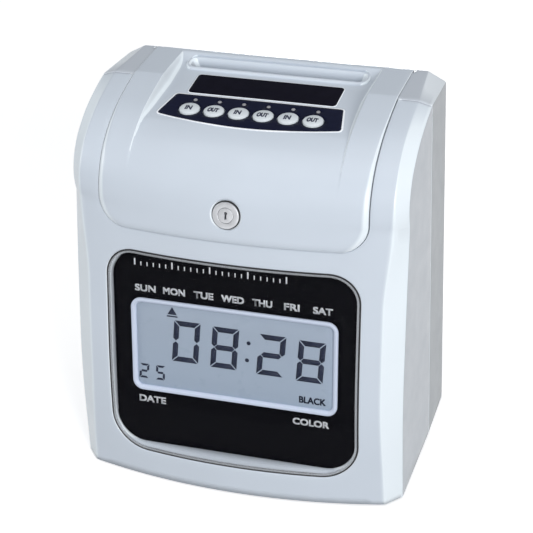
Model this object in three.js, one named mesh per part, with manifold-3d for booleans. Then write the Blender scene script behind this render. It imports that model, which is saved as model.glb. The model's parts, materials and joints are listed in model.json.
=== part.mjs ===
// Desktop punch time clock: a bowed two-part case with a hinged, locking top cover that carries the card
// slot and the six keys, a window over the display, and a card feed with a travelling print head inside.
// Millimetres. X to the right, Y to the back, Z up. Origin at the middle of the footprint, on the table.
import * as THREE from 'three';
import { mergeVertices } from 'three/addons/utils/BufferGeometryUtils.js';
import Module from 'manifold-3d';

const wasm = await Module();
wasm.setup();

// ---- Driving dimensions -------------------------------------------------------------------------
const WIDTH = 188;
const DEPTH = 125;
const HEIGHT = 215;
const HALF_W = WIDTH / 2;
const FRONT_Y = -DEPTH / 2;
const BACK_Y = DEPTH / 2;
const FOOT_DROP = 1.5; // the rubber feet stand this far below the case
const WALL = 2.4;
const GAP = 0.35; // clearance between neighbouring pieces
const deg = (a) => (a * Math.PI) / 180;

// Side profile of the front: upright, leaning back, curving over a brow, then a shallow slope up to the
// roof crease.
const LEAN = deg(8);
const LEAN_START_Z = 30;
const LEAN_FULL_Z = 90;
const BROW_Z = 168;
const BROW_R = 45;
const BROW_END = deg(28);
const CREASE_Y = 24.4;
const COVER_PROUD_TOP = 0.5;
const COVER_PROUD_FRONT = 1.8;
const ROOF_Z = HEIGHT - COVER_PROUD_TOP;

// Plan shape of the front: one wide bow, with a bevel down each side that is broader beside the window.
const BOW_R = 350;
const BEVEL_X_TOP = 88;
const BEVEL_X_WINDOW = 84;
const BEVEL_X_FOOT = 86.3;
const BEVEL_STEP_Z = [122, 172]; // the bevel changes width between these heights
const BEVEL_DEPTH = 9.5;
const BEVEL_DEPTH_CREASE = 2.5;
const ROOF_EDGE_X = [86, 83]; // where the roof's side bevel starts, at the crease and at the back
const REAR_HALF_W = 93;
const REAR_EDGE_Z = 209;
const SEAM_Y = 22; // joint between front housing and rear case

// Top cover
const COVER_HALF_W = 75;
const COVER_BOTTOM_Z = 155;
const COVER_CORNER_R = 16;
const REBATE = 1.4;
const HINGE_Y = 59.2;
const HINGE_Z = 211.7;
const HINGE_ROLL_R = 3.2;
const HINGE_PIN_R = 1.2;

// Sunken deck of the cover
const DECK_TILT = deg(4.7);
const DECK_Z = 206.9; // deck height at Y = 0
const DECK_HALF_W = 58.5;
const DECK_REAR_Y = 57;
const DECK_FADE_S = 224; // the deck leaves its plane here, as a distance along the front profile,
const DECK_TIP_S = 193; // and has faded into the cover's face here,
const DECK_TIP_STEP = 0.35; // but for this step
const SLOT_Y = 49.2;
const SLOT_HALF = [53.5, 7.3];
const THROAT_HALF = [46, 2.5];
const KEY_PITCH = 13.9;
const KEY_R = 5.6;
const LED_Y = 10.2;
const LED_HOLE_R = 1.3;

// Lock
const LOCK_S = 172;
const LOCK_R = 6.2;
const LOCK_REACH = 13.5;

// Window and display
const WINDOW_HALF_W = 72;
const WINDOW_Z = [18.6, 142.8];
const WINDOW_CORNER_R = 20;
const PANEL_TILT = deg(6.72);
const PANEL_POINT = [-50.6, 55.2]; // Y and Z of a point on the panel's front, at the display's lower edge
const LCD_HALF_W = 59.3;
const LCD_HEIGHT = 56.4;

// Underside and back
const FEET = [[-68, -36], [68, -36], [-74, 44], [74, 44]]; // X and Y
const FOOT_R = 7;
const KEYHOLE_X = 55; // two holes that hang the clock on screws
const KEYHOLE_Z = 160;
const INLET_X = 74;

// Card path and mechanism
const CHUTE_Y = [46.7, 51.5];
const CHUTE_HALF_W = 47;
const CHUTE_Z = [30, 193];
const SHEET = 0.8;
const PLATE_X = 60;
const PLATE_T = 1.2;
const FEED_Y = 41.5;
const FEED_Z = 110;
const FEED_ROLLER_R = 7.7;
const PINCH_Y = 54.2;
const PINCH_ROLLER_R = 4.4;
const ROLLER_X = 30;
const GEAR_MODULE = 0.75;
const GEAR_TEETH = 32;
const PINION_TEETH = 12;
const GEAR_X = 65;
const GUIDE_Y = 30;
const GUIDE_Z = 150;
const SCREW_Y = 21;
const SCREW_Z = 143;
const CASSETTE_Z = 167;
const CASSETTE_H = 16;
const FEED_SHAFT_R = 2;
const PINCH_SHAFT_R = 1.5;
const GUIDE_SHAFT_R = 2.5;
const SCREW_R = 2;
const MOTOR_SHAFT_R = 1;
const FEED_MOTOR_R = 12;
const SCREW_MOTOR_R = 10;
const ROLLER_HALF = 5; // half of a roller's width
const GEAR_HALF = 2.5;
const STRIKE_Z = [150, 163]; // the platen stands behind the card between these heights
const STRIKE_HALF_W = 42;
const CARD_HALF_W = 44;
const KNOB_PLACE = [-38, 14]; // X and Y
const SHAFT_ACCESS_R = 9; // holes in the side plates for wires and tools
const SHAFT_ACCESS_Z = [55, 28];
const BOARD_T = 1.6;
const MAIN_BOARD_Z = [8, 124];
const BATTERY_R = 7;
const INLET_Z = 22;
const LABEL_Z = [0.2, 0.6]; // films on the deck: underside and face

// ---- Solids -------------------------------------------------------------------------------------
function solidFrom(points, triangles) {
  return new wasm.Manifold(new wasm.Mesh({
    numProp: 3,
    vertProperties: new Float32Array(points.flat()),
    triVerts: new Uint32Array(triangles.flat()),
  }));
}

// A three.js geometry as a manifold-3d solid, with an optional placement applied.
function solid(geometry, matrix) {
  const g = geometry.index ? geometry.toNonIndexed() : geometry.clone();
  g.deleteAttribute('normal');
  g.deleteAttribute('uv');
  if (matrix) g.applyMatrix4(matrix);
  const merged = mergeVertices(g, 1e-4);
  return new wasm.Manifold(new wasm.Mesh({
    numProp: 3,
    vertProperties: new Float32Array(merged.attributes.position.array),
    triVerts: new Uint32Array(merged.index.array),
  }));
}

// The solid's mesh, with corners that fall on each other joined and the triangles that this closes up
// dropped.
function geometryOf(body) {
  const mesh = body.getMesh();
  const raw = new THREE.BufferGeometry();
  raw.setAttribute('position', new THREE.BufferAttribute(new Float32Array(mesh.vertProperties), 3));
  raw.setIndex(new THREE.BufferAttribute(new Uint32Array(mesh.triVerts), 1));
  const g = mergeVertices(raw, 1e-4);
  const corners = [...g.index.array];
  const kept = [];
  for (let k = 0; k < corners.length; k += 3) {
    const face = corners.slice(k, k + 3);
    if (new Set(face).size === 3) kept.push(...face);
  }
  g.setIndex(kept);
  g.computeVertexNormals();
  return g;
}

const place = (x, y, z, rx = 0, ry = 0, rz = 0) => new THREE.Matrix4()
  .makeRotationFromEuler(new THREE.Euler(rx, ry, rz)).setPosition(x, y, z);

// A box between two corners.
function box(x0, x1, y0, y1, z0, z1) {
  return solid(new THREE.BoxGeometry(x1 - x0, y1 - y0, z1 - z0),
    place((x0 + x1) / 2, (y0 + y1) / 2, (z0 + z1) / 2));
}

// A round bar along X, Y or Z, from a to b on that axis; the other two coordinates are its centre.
function rod(axis, r, a, b, c1, c2, sides = 20) {
  const g = new THREE.CylinderGeometry(r, r, b - a, sides);
  const mid = (a + b) / 2;
  if (axis === 'x') return solid(g, place(mid, c1, c2, 0, 0, Math.PI / 2));
  if (axis === 'y') return solid(g, place(c1, mid, c2));
  return solid(g, place(c1, c2, mid, Math.PI / 2));
}

// A turned solid about Z from a closed half-outline of [radius, z].
function turned(outline, sides = 24) {
  return solid(new THREE.LatheGeometry(outline.map(([r, z]) => new THREE.Vector2(r, z)), sides),
    place(0, 0, 0, Math.PI / 2));
}

function roundedShape(x0, x1, y0, y1, r) {
  const s = new THREE.Shape();
  s.moveTo(x0 + r, y0);
  s.lineTo(x1 - r, y0);
  s.absarc(x1 - r, y0 + r, r, -Math.PI / 2, 0);
  s.lineTo(x1, y1 - r);
  s.absarc(x1 - r, y1 - r, r, 0, Math.PI / 2);
  s.lineTo(x0 + r, y1);
  s.absarc(x0 + r, y1 - r, r, Math.PI / 2, Math.PI);
  s.lineTo(x0, y0 + r);
  s.absarc(x0 + r, y0 + r, r, Math.PI, 1.5 * Math.PI);
  return s;
}

// An outline in X and Z, extruded along Y from y0 to y1.
function prismY(shape, y0, y1, curveSegments = 4) {
  return solid(new THREE.ExtrudeGeometry(shape, { depth: y1 - y0, bevelEnabled: false, curveSegments }),
    place(0, y1, 0, Math.PI / 2));
}

// An outline in X and Y, extruded along Z from z0 to z1.
function prismZ(shape, z0, z1, curveSegments = 6) {
  return solid(new THREE.ExtrudeGeometry(shape, { depth: z1 - z0, bevelEnabled: false, curveSegments }),
    place(0, 0, z0));
}

// Caps that share every point of a ring: a strip between the ring's two equal halves, or ear clipping for a
// side profile of the case.
function stripCap(ring) {
  const n = ring.length;
  const faces = [];
  for (let k = 0; k < n / 2 - 1; k += 1) faces.push([k, k + 1, n - 2 - k], [k, n - 2 - k, n - 1 - k]);
  return faces;
}

function profileCap(ring) {
  const outline = ring.map(([, y, z]) => new THREE.Vector2(y, z));
  const turn = ([a, b, c]) => (outline[b].x - outline[a].x) * (outline[c].y - outline[a].y)
    - (outline[b].y - outline[a].y) * (outline[c].x - outline[a].x);
  const faces = THREE.ShapeUtils.triangulateShape(outline, []);
  return faces.map((face) => (turn(face) > 0 ? face.reverse() : face));
}

// A closed skin over rings of points, each clockwise when seen from the end that the rings advance towards.
function loft(rings, cap = stripCap) {
  const n = rings[0].length;
  const triangles = [];
  for (let i = 0; i + 1 < rings.length; i += 1) {
    for (let j = 0; j < n; j += 1) {
      const a = i * n + j;
      const b = i * n + ((j + 1) % n);
      triangles.push([a, a + n, b + n], [a, b + n, b]);
    }
  }
  const last = (rings.length - 1) * n;
  triangles.push(...cap(rings[0]));
  triangles.push(...cap(rings.at(-1)).map(([a, b, c]) => [last + a, last + c, last + b]));
  return solidFrom(rings.flat(), triangles);
}

// ---- Case surface -------------------------------------------------------------------------------
// The front profile is a chain of straight and round stretches; slope is measured from the horizontal.
function makeProfile() {
  const leanR = (LEAN_FULL_Z - LEAN_START_Z) / Math.sin(LEAN);
  const stretches = [
    { length: LEAN_START_Z - FOOT_DROP, radius: Infinity },
    { length: leanR * LEAN, radius: leanR },
    { length: (BROW_Z - LEAN_FULL_Z) / Math.cos(LEAN), radius: Infinity },
    { length: BROW_R * (Math.PI / 2 - LEAN - BROW_END), radius: BROW_R },
  ];
  let at = { s: FOOT_DROP, y: FRONT_Y, z: FOOT_DROP, slope: Math.PI / 2 };
  const chain = [];
  const push = ({ length, radius }) => {
    chain.push({ ...at, length, radius });
    at = along(chain.at(-1), at.s + length);
  };
  stretches.forEach(push);
  const rise = Math.atan2(ROOF_Z - at.z, CREASE_Y - at.y);
  const chord = Math.hypot(ROOF_Z - at.z, CREASE_Y - at.y);
  const radius = chord / (2 * Math.sin(BROW_END - rise));
  push({ length: 2 * radius * (BROW_END - rise), radius });
  return chain;
}

function along(stretch, s) {
  const d = s - stretch.s;
  if (stretch.radius === Infinity) {
    const [y, z] = [stretch.y + d * Math.cos(stretch.slope), stretch.z + d * Math.sin(stretch.slope)];
    return { ...stretch, s, y, z };
  }
  const slope = stretch.slope - d / stretch.radius;
  return {
    s,
    slope,
    y: stretch.y + stretch.radius * (Math.sin(stretch.slope) - Math.sin(slope)),
    z: stretch.z + stretch.radius * (Math.cos(slope) - Math.cos(stretch.slope)),
  };
}

const PROFILE = makeProfile();
const BROW_S = PROFILE[3].s;
const CREASE_S = PROFILE[4].s + PROFILE[4].length;
const profileAt = (s) => along(PROFILE.findLast((p) => p.s <= s) ?? PROFILE[0], s);
const smooth = (a, b, v) => THREE.MathUtils.smoothstep(v, a, b);
const bow = (x) => BOW_R - Math.sqrt(BOW_R * BOW_R - x * x);

// How much of the bow is left at s: all of it up to the brow, none at the crease.
const bowShare = (s) => (1 - THREE.MathUtils.clamp((s - BROW_S) / (CREASE_S - BROW_S), 0, 1)) ** 1.6;

function bevelX(s) {
  const low = THREE.MathUtils.lerp(BEVEL_X_FOOT, BEVEL_X_WINDOW, smooth(0, 70, s));
  const high = THREE.MathUtils.lerp(BEVEL_X_TOP, ROOF_EDGE_X[0], smooth(BROW_S, CREASE_S, s));
  return THREE.MathUtils.lerp(low, high, smooth(...BEVEL_STEP_Z, s));
}

// A point of the front surface, sunk by inset along the surface's inward normal.
function frontPoint(x, s, inset) {
  const p = profileAt(s);
  const edge = bevelX(s);
  const over = THREE.MathUtils.clamp((Math.abs(x) - edge) / (HALF_W - edge), 0, 1);
  const share = bowShare(s);
  const bevel = over * THREE.MathUtils.lerp(BEVEL_DEPTH_CREASE, BEVEL_DEPTH, share);
  const sink = bow(Math.min(Math.abs(x), edge)) * share + bevel + inset;
  return [x, p.y + Math.sin(p.slope) * sink, p.z - Math.cos(p.slope) * sink];
}

// Distances along the profile where the case is sectioned: close together where it curves.
function stations() {
  const list = [FOOT_DROP, LEAN_START_Z, 60, 90, 122, 135, 147, 159];
  for (let k = 0; k < 6; k += 1) list.push(BROW_S + (PROFILE[3].length * k) / 6);
  for (let k = 0; k <= 3; k += 1) list.push(PROFILE[4].s + (PROFILE[4].length * k) / 3);
  return list;
}

// The whole case as one solid, shrunk by inset on every side, or on the front only where inset is a
// function of s.
function envelope(inset, bottom = FOOT_DROP) {
  const front = typeof inset === 'function' ? inset : () => inset;
  const side = typeof inset === 'function' ? 0 : inset;
  const rings = [];
  const columns = 8;
  for (let c = -columns / 2 - 1; c <= columns / 2 + 1; c += 1) {
    const outer = Math.abs(c) > columns / 2;
    const inner = (edge) => ((edge - side * 0.5) * c * 2) / columns;
    const xAt = (edge, wide) => (outer ? Math.sign(c) * (wide - side) : inner(edge));
    const ring = stations().map((s) => frontPoint(xAt(bevelX(s), HALF_W), s, front(s)));
    ring[0][2] = bottom;
    const roof = ROOF_Z - front(CREASE_S) - (outer ? ROOF_Z - REAR_EDGE_Z : 0);
    const rearX = xAt(ROOF_EDGE_X[1], REAR_HALF_W);
    ring.push([rearX, BACK_Y - side, roof], [rearX, BACK_Y - side, bottom]);
    rings.push(ring);
  }
  return loft(rings, profileCap);
}

const coverProud = (s) => THREE.MathUtils.lerp(COVER_PROUD_FRONT, COVER_PROUD_TOP, smooth(190, CREASE_S, s));
const windowShape = (grow) => roundedShape(-WINDOW_HALF_W - grow, WINDOW_HALF_W + grow,
  WINDOW_Z[0] - grow, WINDOW_Z[1] + grow, WINDOW_CORNER_R + grow);
const coverShape = (grow) => roundedShape(-COVER_HALF_W - grow, COVER_HALF_W + grow,
  COVER_BOTTOM_Z - grow, HEIGHT + 60, COVER_CORNER_R + grow);

// ---- Case ---------------------------------------------------------------------------------------
function caseShell() {
  const shell = envelope(0).subtract(envelope(WALL, -10));
  const rebate = prismY(coverShape(GAP), FRONT_Y - 5, BACK_Y + 5).subtract(envelope(REBATE, -10));
  const opening = prismY(coverShape(-4), FRONT_Y - 5, HINGE_Y - 4);
  const notchX = COVER_HALF_W + GAP;
  const hingeNotch = box(-notchX, notchX, HINGE_Y - 5, BACK_Y + 5, HINGE_Z - 4, HEIGHT + 5);
  const aboveRear = box(-200, 200, HINGE_Y - 5, BACK_Y + 5, 150, HINGE_Z - 4);
  return shell.subtract(rebate.subtract(aboveRear)).subtract(opening).subtract(hingeNotch);
}

function frontHousing(shell) {
  const well = prismY(windowShape(2), FRONT_Y - 5, -36)
    .subtract(prismY(windowShape(0), FRONT_Y - 6, -35))
    .intersect(envelope(0.2));
  return shell.subtract(box(-200, 200, SEAM_Y, 200, -5, 300))
    .subtract(prismY(windowShape(0), FRONT_Y - 6, -35))
    .add(well);
}

function rearCase(shell) {
  let body = shell.subtract(box(-200, 200, -200, SEAM_Y + GAP, -5, 300));
  body = body.add(box(-87, 87, BACK_Y - WALL, BACK_Y - 0.01, FOOT_DROP, HINGE_Z - 8));
  for (const side of [-1, 1]) {
    const x = side * (COVER_HALF_W + 5.4);
    const lug = rod('x', 3, x - 4, x + 4, HINGE_Y - 1.5, HINGE_Z - 2, 16)
      .add(box(x - 4, x + 4, HINGE_Y - 4.5, BACK_Y - 1, HINGE_Z - 9, HINGE_Z - 2));
    const bore = [side * (COVER_HALF_W - 2), side * (COVER_HALF_W + 8)].sort((a, b) => a - b);
    body = body.add(lug).subtract(rod('x', HINGE_PIN_R + GAP, ...bore, HINGE_Y, HINGE_Z, 12));
    const hole = side * KEYHOLE_X;
    body = body.subtract(rod('y', 4.5, BACK_Y - 10, BACK_Y + 5, hole, KEYHOLE_Z))
      .subtract(box(hole - 2.2, hole + 2.2, BACK_Y - 10, BACK_Y + 5, KEYHOLE_Z, KEYHOLE_Z + 10));
  }
  return body.subtract(box(INLET_X - 7, INLET_X + 7, BACK_Y - 10, BACK_Y + 5, 16, 28));
}

function basePlate() {
  let plate = envelope(WALL + GAP, -5).intersect(box(-100, 100, -100, 100, FOOT_DROP, FOOT_DROP + 3));
  for (const [x, y] of FEET) plate = plate.subtract(rod('z', FOOT_R + GAP, 0, FOOT_DROP + 1.5, x, y));
  return plate;
}

const foot = ([x, y]) => rod('z', FOOT_R, 0, FOOT_DROP + 1.2, x, y, 14);

function hingePin(side) {
  const inner = COVER_HALF_W - 9;
  const outer = COVER_HALF_W + 7.6;
  return rod('x', HINGE_PIN_R, Math.min(side * inner, side * outer), Math.max(side * inner, side * outer),
    HINGE_Y, HINGE_Z, 12);
}

// A bent strip inside the front wall: its lip stands just in front of the turned-down lock cam.
function lockCatch() {
  const [halfW, rearY, baseZ, thick] = [13, -40.4, 148, 1.2];
  return box(-halfW, halfW, -45.3, rearY, baseZ, baseZ + thick)
    .add(box(-halfW, halfW, rearY - thick, rearY, baseZ, 157));
}

// ---- Window and display -------------------------------------------------------------------------
function windowLens() {
  return envelope(0.3).subtract(envelope(1.7)).intersect(prismY(windowShape(-GAP), FRONT_Y - 5, -36));
}

// The display stack is built upright about the panel's front face, then leaned back by PANEL_TILT.
const PANEL_BOTTOM = -33;
const PANEL_TOP = 85;
const PANEL_HALF_W = 69.3;
const panelShape = () => roundedShape(-PANEL_HALF_W, PANEL_HALF_W, PANEL_BOTTOM, PANEL_TOP, 17);
const lcdShape = (shrink, r) => roundedShape(-LCD_HALF_W + shrink, LCD_HALF_W - shrink, shrink,
  LCD_HEIGHT - shrink, r);
const displayPanel = () => prismY(panelShape(), 0, 1.5).subtract(prismY(lcdShape(2, 4), -1, 3));
const lcdBezel = () => prismY(lcdShape(0, 6), -1.6, -0.3).subtract(prismY(lcdShape(2.6, 4), -3, 1));
const lcdGlass = () => prismY(lcdShape(2.4, 3), -0.2, 2.4, 3);

function displayBoard() {
  let board = box(-66, 66, 4.4, 6, -20, 76);
  for (const [x, z] of [[-40, 10], [0, 14], [38, 10]]) {
    board = board.add(box(x - 8, x + 8, 5.9, 8.4, z - 6, z + 6));
  }
  return board;
}

// ---- Top cover ----------------------------------------------------------------------------------
const deckHeight = (y) => DECK_Z + y * Math.tan(DECK_TILT);

// How far the deck lies below the cover's face at s: down to the tilted deck plane at the back, then fading
// to a slight step at the deck's tip.
function deckDepth(s) {
  const toPlane = (at) => {
    const [, y, z] = frontPoint(0, at, -coverProud(at));
    const { slope } = profileAt(at);
    return (z - deckHeight(y)) / (Math.cos(slope) + Math.tan(DECK_TILT) * Math.sin(slope));
  };
  if (s > DECK_FADE_S) return toPlane(s);
  const fade = (s - DECK_TIP_S) / (DECK_FADE_S - DECK_TIP_S);
  return THREE.MathUtils.lerp(DECK_TIP_STEP, toPlane(DECK_FADE_S), fade * fade);
}

// A channel swept along the deck from the back to its tip: its floor runs the given amount below the deck,
// and its sides slope outward to the given height above the deck.
function deckSweep(below, rise, grow) {
  const across = [1, 0.62, 0.21, -0.21, -0.62, -1];
  const ring = (depth, at) => {
    const top = rise(depth);
    const low = DECK_HALF_W - depth + grow;
    return [...across.map((k) => at(k * low, -below)), ...across.map((k) => at(-k * (low + top), top))];
  };
  const level = (y) => ring(HEIGHT - deckHeight(y), (x, up) => [x, y, deckHeight(y) + up]);
  const rings = [DECK_REAR_Y, 40].map(level);
  const steps = 11;
  for (let k = 0; k <= steps; k += 1) {
    const s = THREE.MathUtils.lerp(CREASE_S - 1, DECK_TIP_S, k / steps);
    const depth = deckDepth(s);
    rings.push(ring(depth, (x, up) => frontPoint(x, s, depth - up - coverProud(s))));
  }
  return loft(rings);
}

function stadium(halfX, halfY, cy) {
  return roundedShape(-halfX, halfX, cy - halfY, cy + halfY, halfY - 0.01);
}

function cover() {
  const plate = envelope((s) => -coverProud(s)).subtract(envelope(REBATE - 0.3))
    .intersect(prismY(coverShape(0), FRONT_Y - 5, HINGE_Y));
  const roll = rod('x', HINGE_ROLL_R, -COVER_HALF_W + GAP, COVER_HALF_W - GAP, HINGE_Y, HINGE_Z, 20);
  const tray = deckSweep(2.2, (d) => Math.max(d - 0.6, 0.05), 1.4);
  let body = plate.add(tray).add(roll).subtract(deckSweep(0, (d) => d + 4, 0));
  body = body.subtract(prismZ(stadium(SLOT_HALF[0] - 1.2, SLOT_HALF[1] - 1.2, SLOT_Y), 190, 230, 4));
  body = body.subtract(deckHoles());
  body = body.subtract(solid(new THREE.CylinderGeometry(LOCK_R + GAP, LOCK_R + GAP, 20, 24), lockMatrix()));
  for (const side of [-1, 1]) {
    const ends = [side * (COVER_HALF_W - 10), side * (COVER_HALF_W + 2)].sort((a, b) => a - b);
    body = body.subtract(rod('x', HINGE_PIN_R + GAP, ...ends, HINGE_Y, HINGE_Z, 16));
  }
  return body;
}

// Deck frame: origin on the deck surface in the middle of the key row, Z out of the deck.
const DECK_FRAME = place(0, -0.5, deckHeight(-0.5), DECK_TILT);
const keyX = (k) => (k - 2.5) * KEY_PITCH;
const KEYS = [0, 1, 2, 3, 4, 5];

function deckHoles() {
  let holes = null;
  for (const k of KEYS) {
    const pair = rod('z', KEY_R + GAP, -8, 8, keyX(k), 0, 16)
      .add(rod('z', LED_HOLE_R, -8, 8, keyX(k), LED_Y, 8));
    holes = holes ? holes.add(pair) : pair;
  }
  return holes.transform(DECK_FRAME.elements);
}

// A lip that lies on the deck round a funnel that narrows to the card throat.
function cardSlotGuide() {
  const [lipX, lipY] = SLOT_HALF;
  const [throatX, throatY] = THROAT_HALF;
  const wall = 1.2;
  const lip = prismZ(stadium(lipX, lipY, 0), 0.3, 1.6, 4);
  const outside = [[lipX - 1.6, lipY - 1.6, 0.5], [lipX - 1.6, lipY - 1.6, -3],
    [throatX + wall, throatY + wall, -9.5], [throatX + wall, throatY + wall, -11]];
  const inside = [[lipX - 2.7, lipY - 2.7, 3], [lipX - 2.7, lipY - 2.7, 0.8],
    [throatX, throatY, -9], [throatX, throatY, -12]];
  const funnel = (rings) => loft(rings.map((ring) => stadiumRing(...ring)));
  return lip.add(funnel(outside)).subtract(funnel(inside));
}

function stadiumRing(halfX, halfY, z) {
  const points = [];
  for (const side of [1, -1]) {
    for (let k = 0; k <= 4; k += 1) {
      const a = -Math.PI / 2 + (Math.PI * k) / 4;
      points.push([side * (halfX - halfY + halfY * Math.cos(a)), side * halfY * Math.sin(a), z]);
    }
  }
  return points;
}

const slotLabel = () => prismZ(roundedShape(-41.5, 41.5, 18.4, 38.6, 1.5), ...LABEL_Z, 3);

function keypadOverlay() {
  const s = new THREE.Shape();
  s.moveTo(-50.5, -6);
  s.quadraticCurveTo(0, -20.5, 50.5, -6);
  s.quadraticCurveTo(51.5, -5, 51.2, -3.5);
  s.lineTo(47.6, 14);
  s.quadraticCurveTo(47.3, 15.5, 45.8, 15.5);
  s.lineTo(-45.8, 15.5);
  s.quadraticCurveTo(-47.3, 15.5, -47.6, 14);
  s.lineTo(-51.2, -3.5);
  s.quadraticCurveTo(-51.5, -5, -50.5, -6);
  let sheet = prismZ(s, ...LABEL_Z, 4);
  for (const k of KEYS) {
    sheet = sheet.subtract(rod('z', KEY_R + GAP, -1, 2, keyX(k), 0, 16))
      .subtract(rod('z', LED_HOLE_R, -1, 2, keyX(k), LED_Y, 8));
  }
  return sheet;
}

// A domed cap on a flange that keeps it under the deck, with a stem for the switch.
const keyCap = () => turned([[0, -4.6], [1.8, -4.6], [1.8, -3.6], [KEY_R + 0.9, -3.6], [KEY_R + 0.9, -2.7],
  [KEY_R, -2.7], [KEY_R, 0.8], [3.6, 1.8], [0, 2.1]], 14);

function keyLightBar() {
  let bar = box(-38, 38, LED_Y - 1.4, LED_Y + 1.4, -4.6, -2.7);
  for (const k of KEYS) bar = bar.add(rod('z', 0.9, -3, 0.8, keyX(k), LED_Y, 8));
  return bar;
}

function keypadBoard() {
  let board = box(-45, 45, -6, 15, -9.4, -8);
  for (const k of KEYS) {
    board = board.add(rod('z', 2.6, -8.1, -5.9, keyX(k), 0, 10))
      .add(box(keyX(k) - 1, keyX(k) + 1, LED_Y - 1, LED_Y + 1, -8.1, -5.6));
  }
  return board;
}

// ---- Lock ---------------------------------------------------------------------------------------
// Lock frame: origin on the cover's face, Y out along the lock's axis.
function lockPlace() {
  const p = profileAt(LOCK_S);
  const [, y, z] = frontPoint(0, LOCK_S, -coverProud(LOCK_S));
  return { y, z, tilt: p.slope + Math.PI / 2 };
}

function lockMatrix() {
  const { y, z, tilt } = lockPlace();
  return place(0, y, z, tilt);
}

// A turned solid about the lock's axis: outline of [radius, distance out].
const lockTurned = (outline, sides) => solid(
  new THREE.LatheGeometry(outline.map(([r, d]) => new THREE.Vector2(r, d)), sides));

function lockBarrel() {
  return lockTurned([[4.6, 0.9], [4.6, -LOCK_REACH + 2.2], [LOCK_R, -LOCK_REACH + 2.2], [LOCK_R, 0.35],
    [7.6, 0.35], [7.6, 1.0], [6.6, 1.5], [5.4, 1.5], [4.6, 0.9]], 16);
}

function lockNut() {
  const hex = new THREE.CylinderGeometry(9, 9, 2.4, 6);
  const hole = new THREE.CylinderGeometry(LOCK_R + GAP, LOCK_R + GAP, 6, 24);
  return solid(hex, place(0, -5.6, 0)).subtract(solid(hole, place(0, -5.6, 0)));
}

function lockCylinder() {
  const plug = lockTurned([[0, -LOCK_REACH - 1.6], [2.2, -LOCK_REACH - 1.6], [2.2, -LOCK_REACH + 1.8],
    [4.2, -LOCK_REACH + 1.8], [4.2, 1.1], [0, 1.1]], 16);
  return plug.subtract(solid(new THREE.BoxGeometry(1.2, 8, 4.6), place(0, -1, 0)));
}

// Points sideways at rest, clear of the catch, and behind the catch after a quarter turn.
function lockCam() {
  return solid(new THREE.BoxGeometry(19, 1.4, 8), place(6.5, -LOCK_REACH, 0))
    .subtract(solid(new THREE.CylinderGeometry(2.55, 2.55, 6, 16), place(0, -LOCK_REACH, 0)));
}

// ---- Mechanism ----------------------------------------------------------------------------------
function sidePlate(side) {
  const s = new THREE.Shape();
  s.moveTo(14, FOOT_DROP + 3.4);
  s.lineTo(57.6, FOOT_DROP + 3.4);
  s.lineTo(57.6, 192);
  s.lineTo(40, 192);
  s.lineTo(40, CASSETTE_Z - GAP);
  s.lineTo(14, CASSETTE_Z - GAP);
  s.lineTo(14, FOOT_DROP + 3.4);
  const x = side * PLATE_X;
  let plate = solid(new THREE.ExtrudeGeometry(s, { depth: PLATE_T, bevelEnabled: false }),
    new THREE.Matrix4().makeBasis(new THREE.Vector3(0, 1, 0), new THREE.Vector3(0, 0, 1),
      new THREE.Vector3(1, 0, 0)).setPosition(x - PLATE_T / 2, 0, 0));
  const hole = (r, y, z) => {
    plate = plate.subtract(rod('x', r + GAP, x - 5, x + 5, y, z, 12));
  };
  hole(FEED_SHAFT_R, FEED_Y, FEED_Z);
  hole(PINCH_SHAFT_R, PINCH_Y, FEED_Z);
  hole(GUIDE_SHAFT_R, GUIDE_Y, GUIDE_Z);
  hole(SCREW_R, SCREW_Y, SCREW_Z);
  hole(4 * MOTOR_SHAFT_R, FEED_Y, FEED_Z - centreDistance());
  for (const z of SHAFT_ACCESS_Z) hole(SHAFT_ACCESS_R, GUIDE_Y, z);
  return plate;
}

const centreDistance = () => (GEAR_MODULE * (GEAR_TEETH + PINION_TEETH)) / 2 + 0.15;

function chute(y0, windows) {
  let sheet = box(-CHUTE_HALF_W, CHUTE_HALF_W, y0, y0 + SHEET, ...CHUTE_Z);
  for (const [x0, x1, z0, z1] of windows) sheet = sheet.subtract(box(x0, x1, y0 - 1, y0 + 2, z0, z1));
  return sheet;
}

const rollerWindows = (h) => [-1, 1].map((side) => {
  const half = ROLLER_HALF + 1;
  return [side * ROLLER_X - half, side * ROLLER_X + half, FEED_Z - h, FEED_Z + h];
});
const strikeWindow = (margin) => [-STRIKE_HALF_W, STRIKE_HALF_W, STRIKE_Z[0] - margin, STRIKE_Z[1] + margin];
const chuteFront = () => chute(CHUTE_Y[0] - SHEET, [...rollerWindows(FEED_ROLLER_R + 0.3), strikeWindow(2)]);
const chuteRear = () => chute(CHUTE_Y[1], [...rollerWindows(PINCH_ROLLER_R + 1.1), strikeWindow(0)]);

function gear(teeth, bore, x0, x1, y, z, phase) {
  const pitch = (GEAR_MODULE * teeth) / 2;
  const s = new THREE.Shape();
  const step = (2 * Math.PI) / teeth;
  const corners = [[-0.29, -1.1], [-0.13, 0.75], [0.13, 0.75], [0.29, -1.1]];
  for (let k = 0; k < teeth; k += 1) {
    for (const [across, out] of corners) {
      const a = phase + (k + across) * step;
      const r = pitch + out * GEAR_MODULE;
      if (k === 0 && across < -0.2) s.moveTo(r * Math.cos(a), r * Math.sin(a));
      else s.lineTo(r * Math.cos(a), r * Math.sin(a));
    }
  }
  const basis = new THREE.Matrix4().makeBasis(new THREE.Vector3(0, 1, 0), new THREE.Vector3(0, 0, 1),
    new THREE.Vector3(1, 0, 0)).setPosition(x0, y, z);
  return solid(new THREE.ExtrudeGeometry(s, { depth: x1 - x0, bevelEnabled: false }), basis)
    .subtract(rod('x', bore, x0 - 1, x1 + 1, y, z, 16));
}

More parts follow.
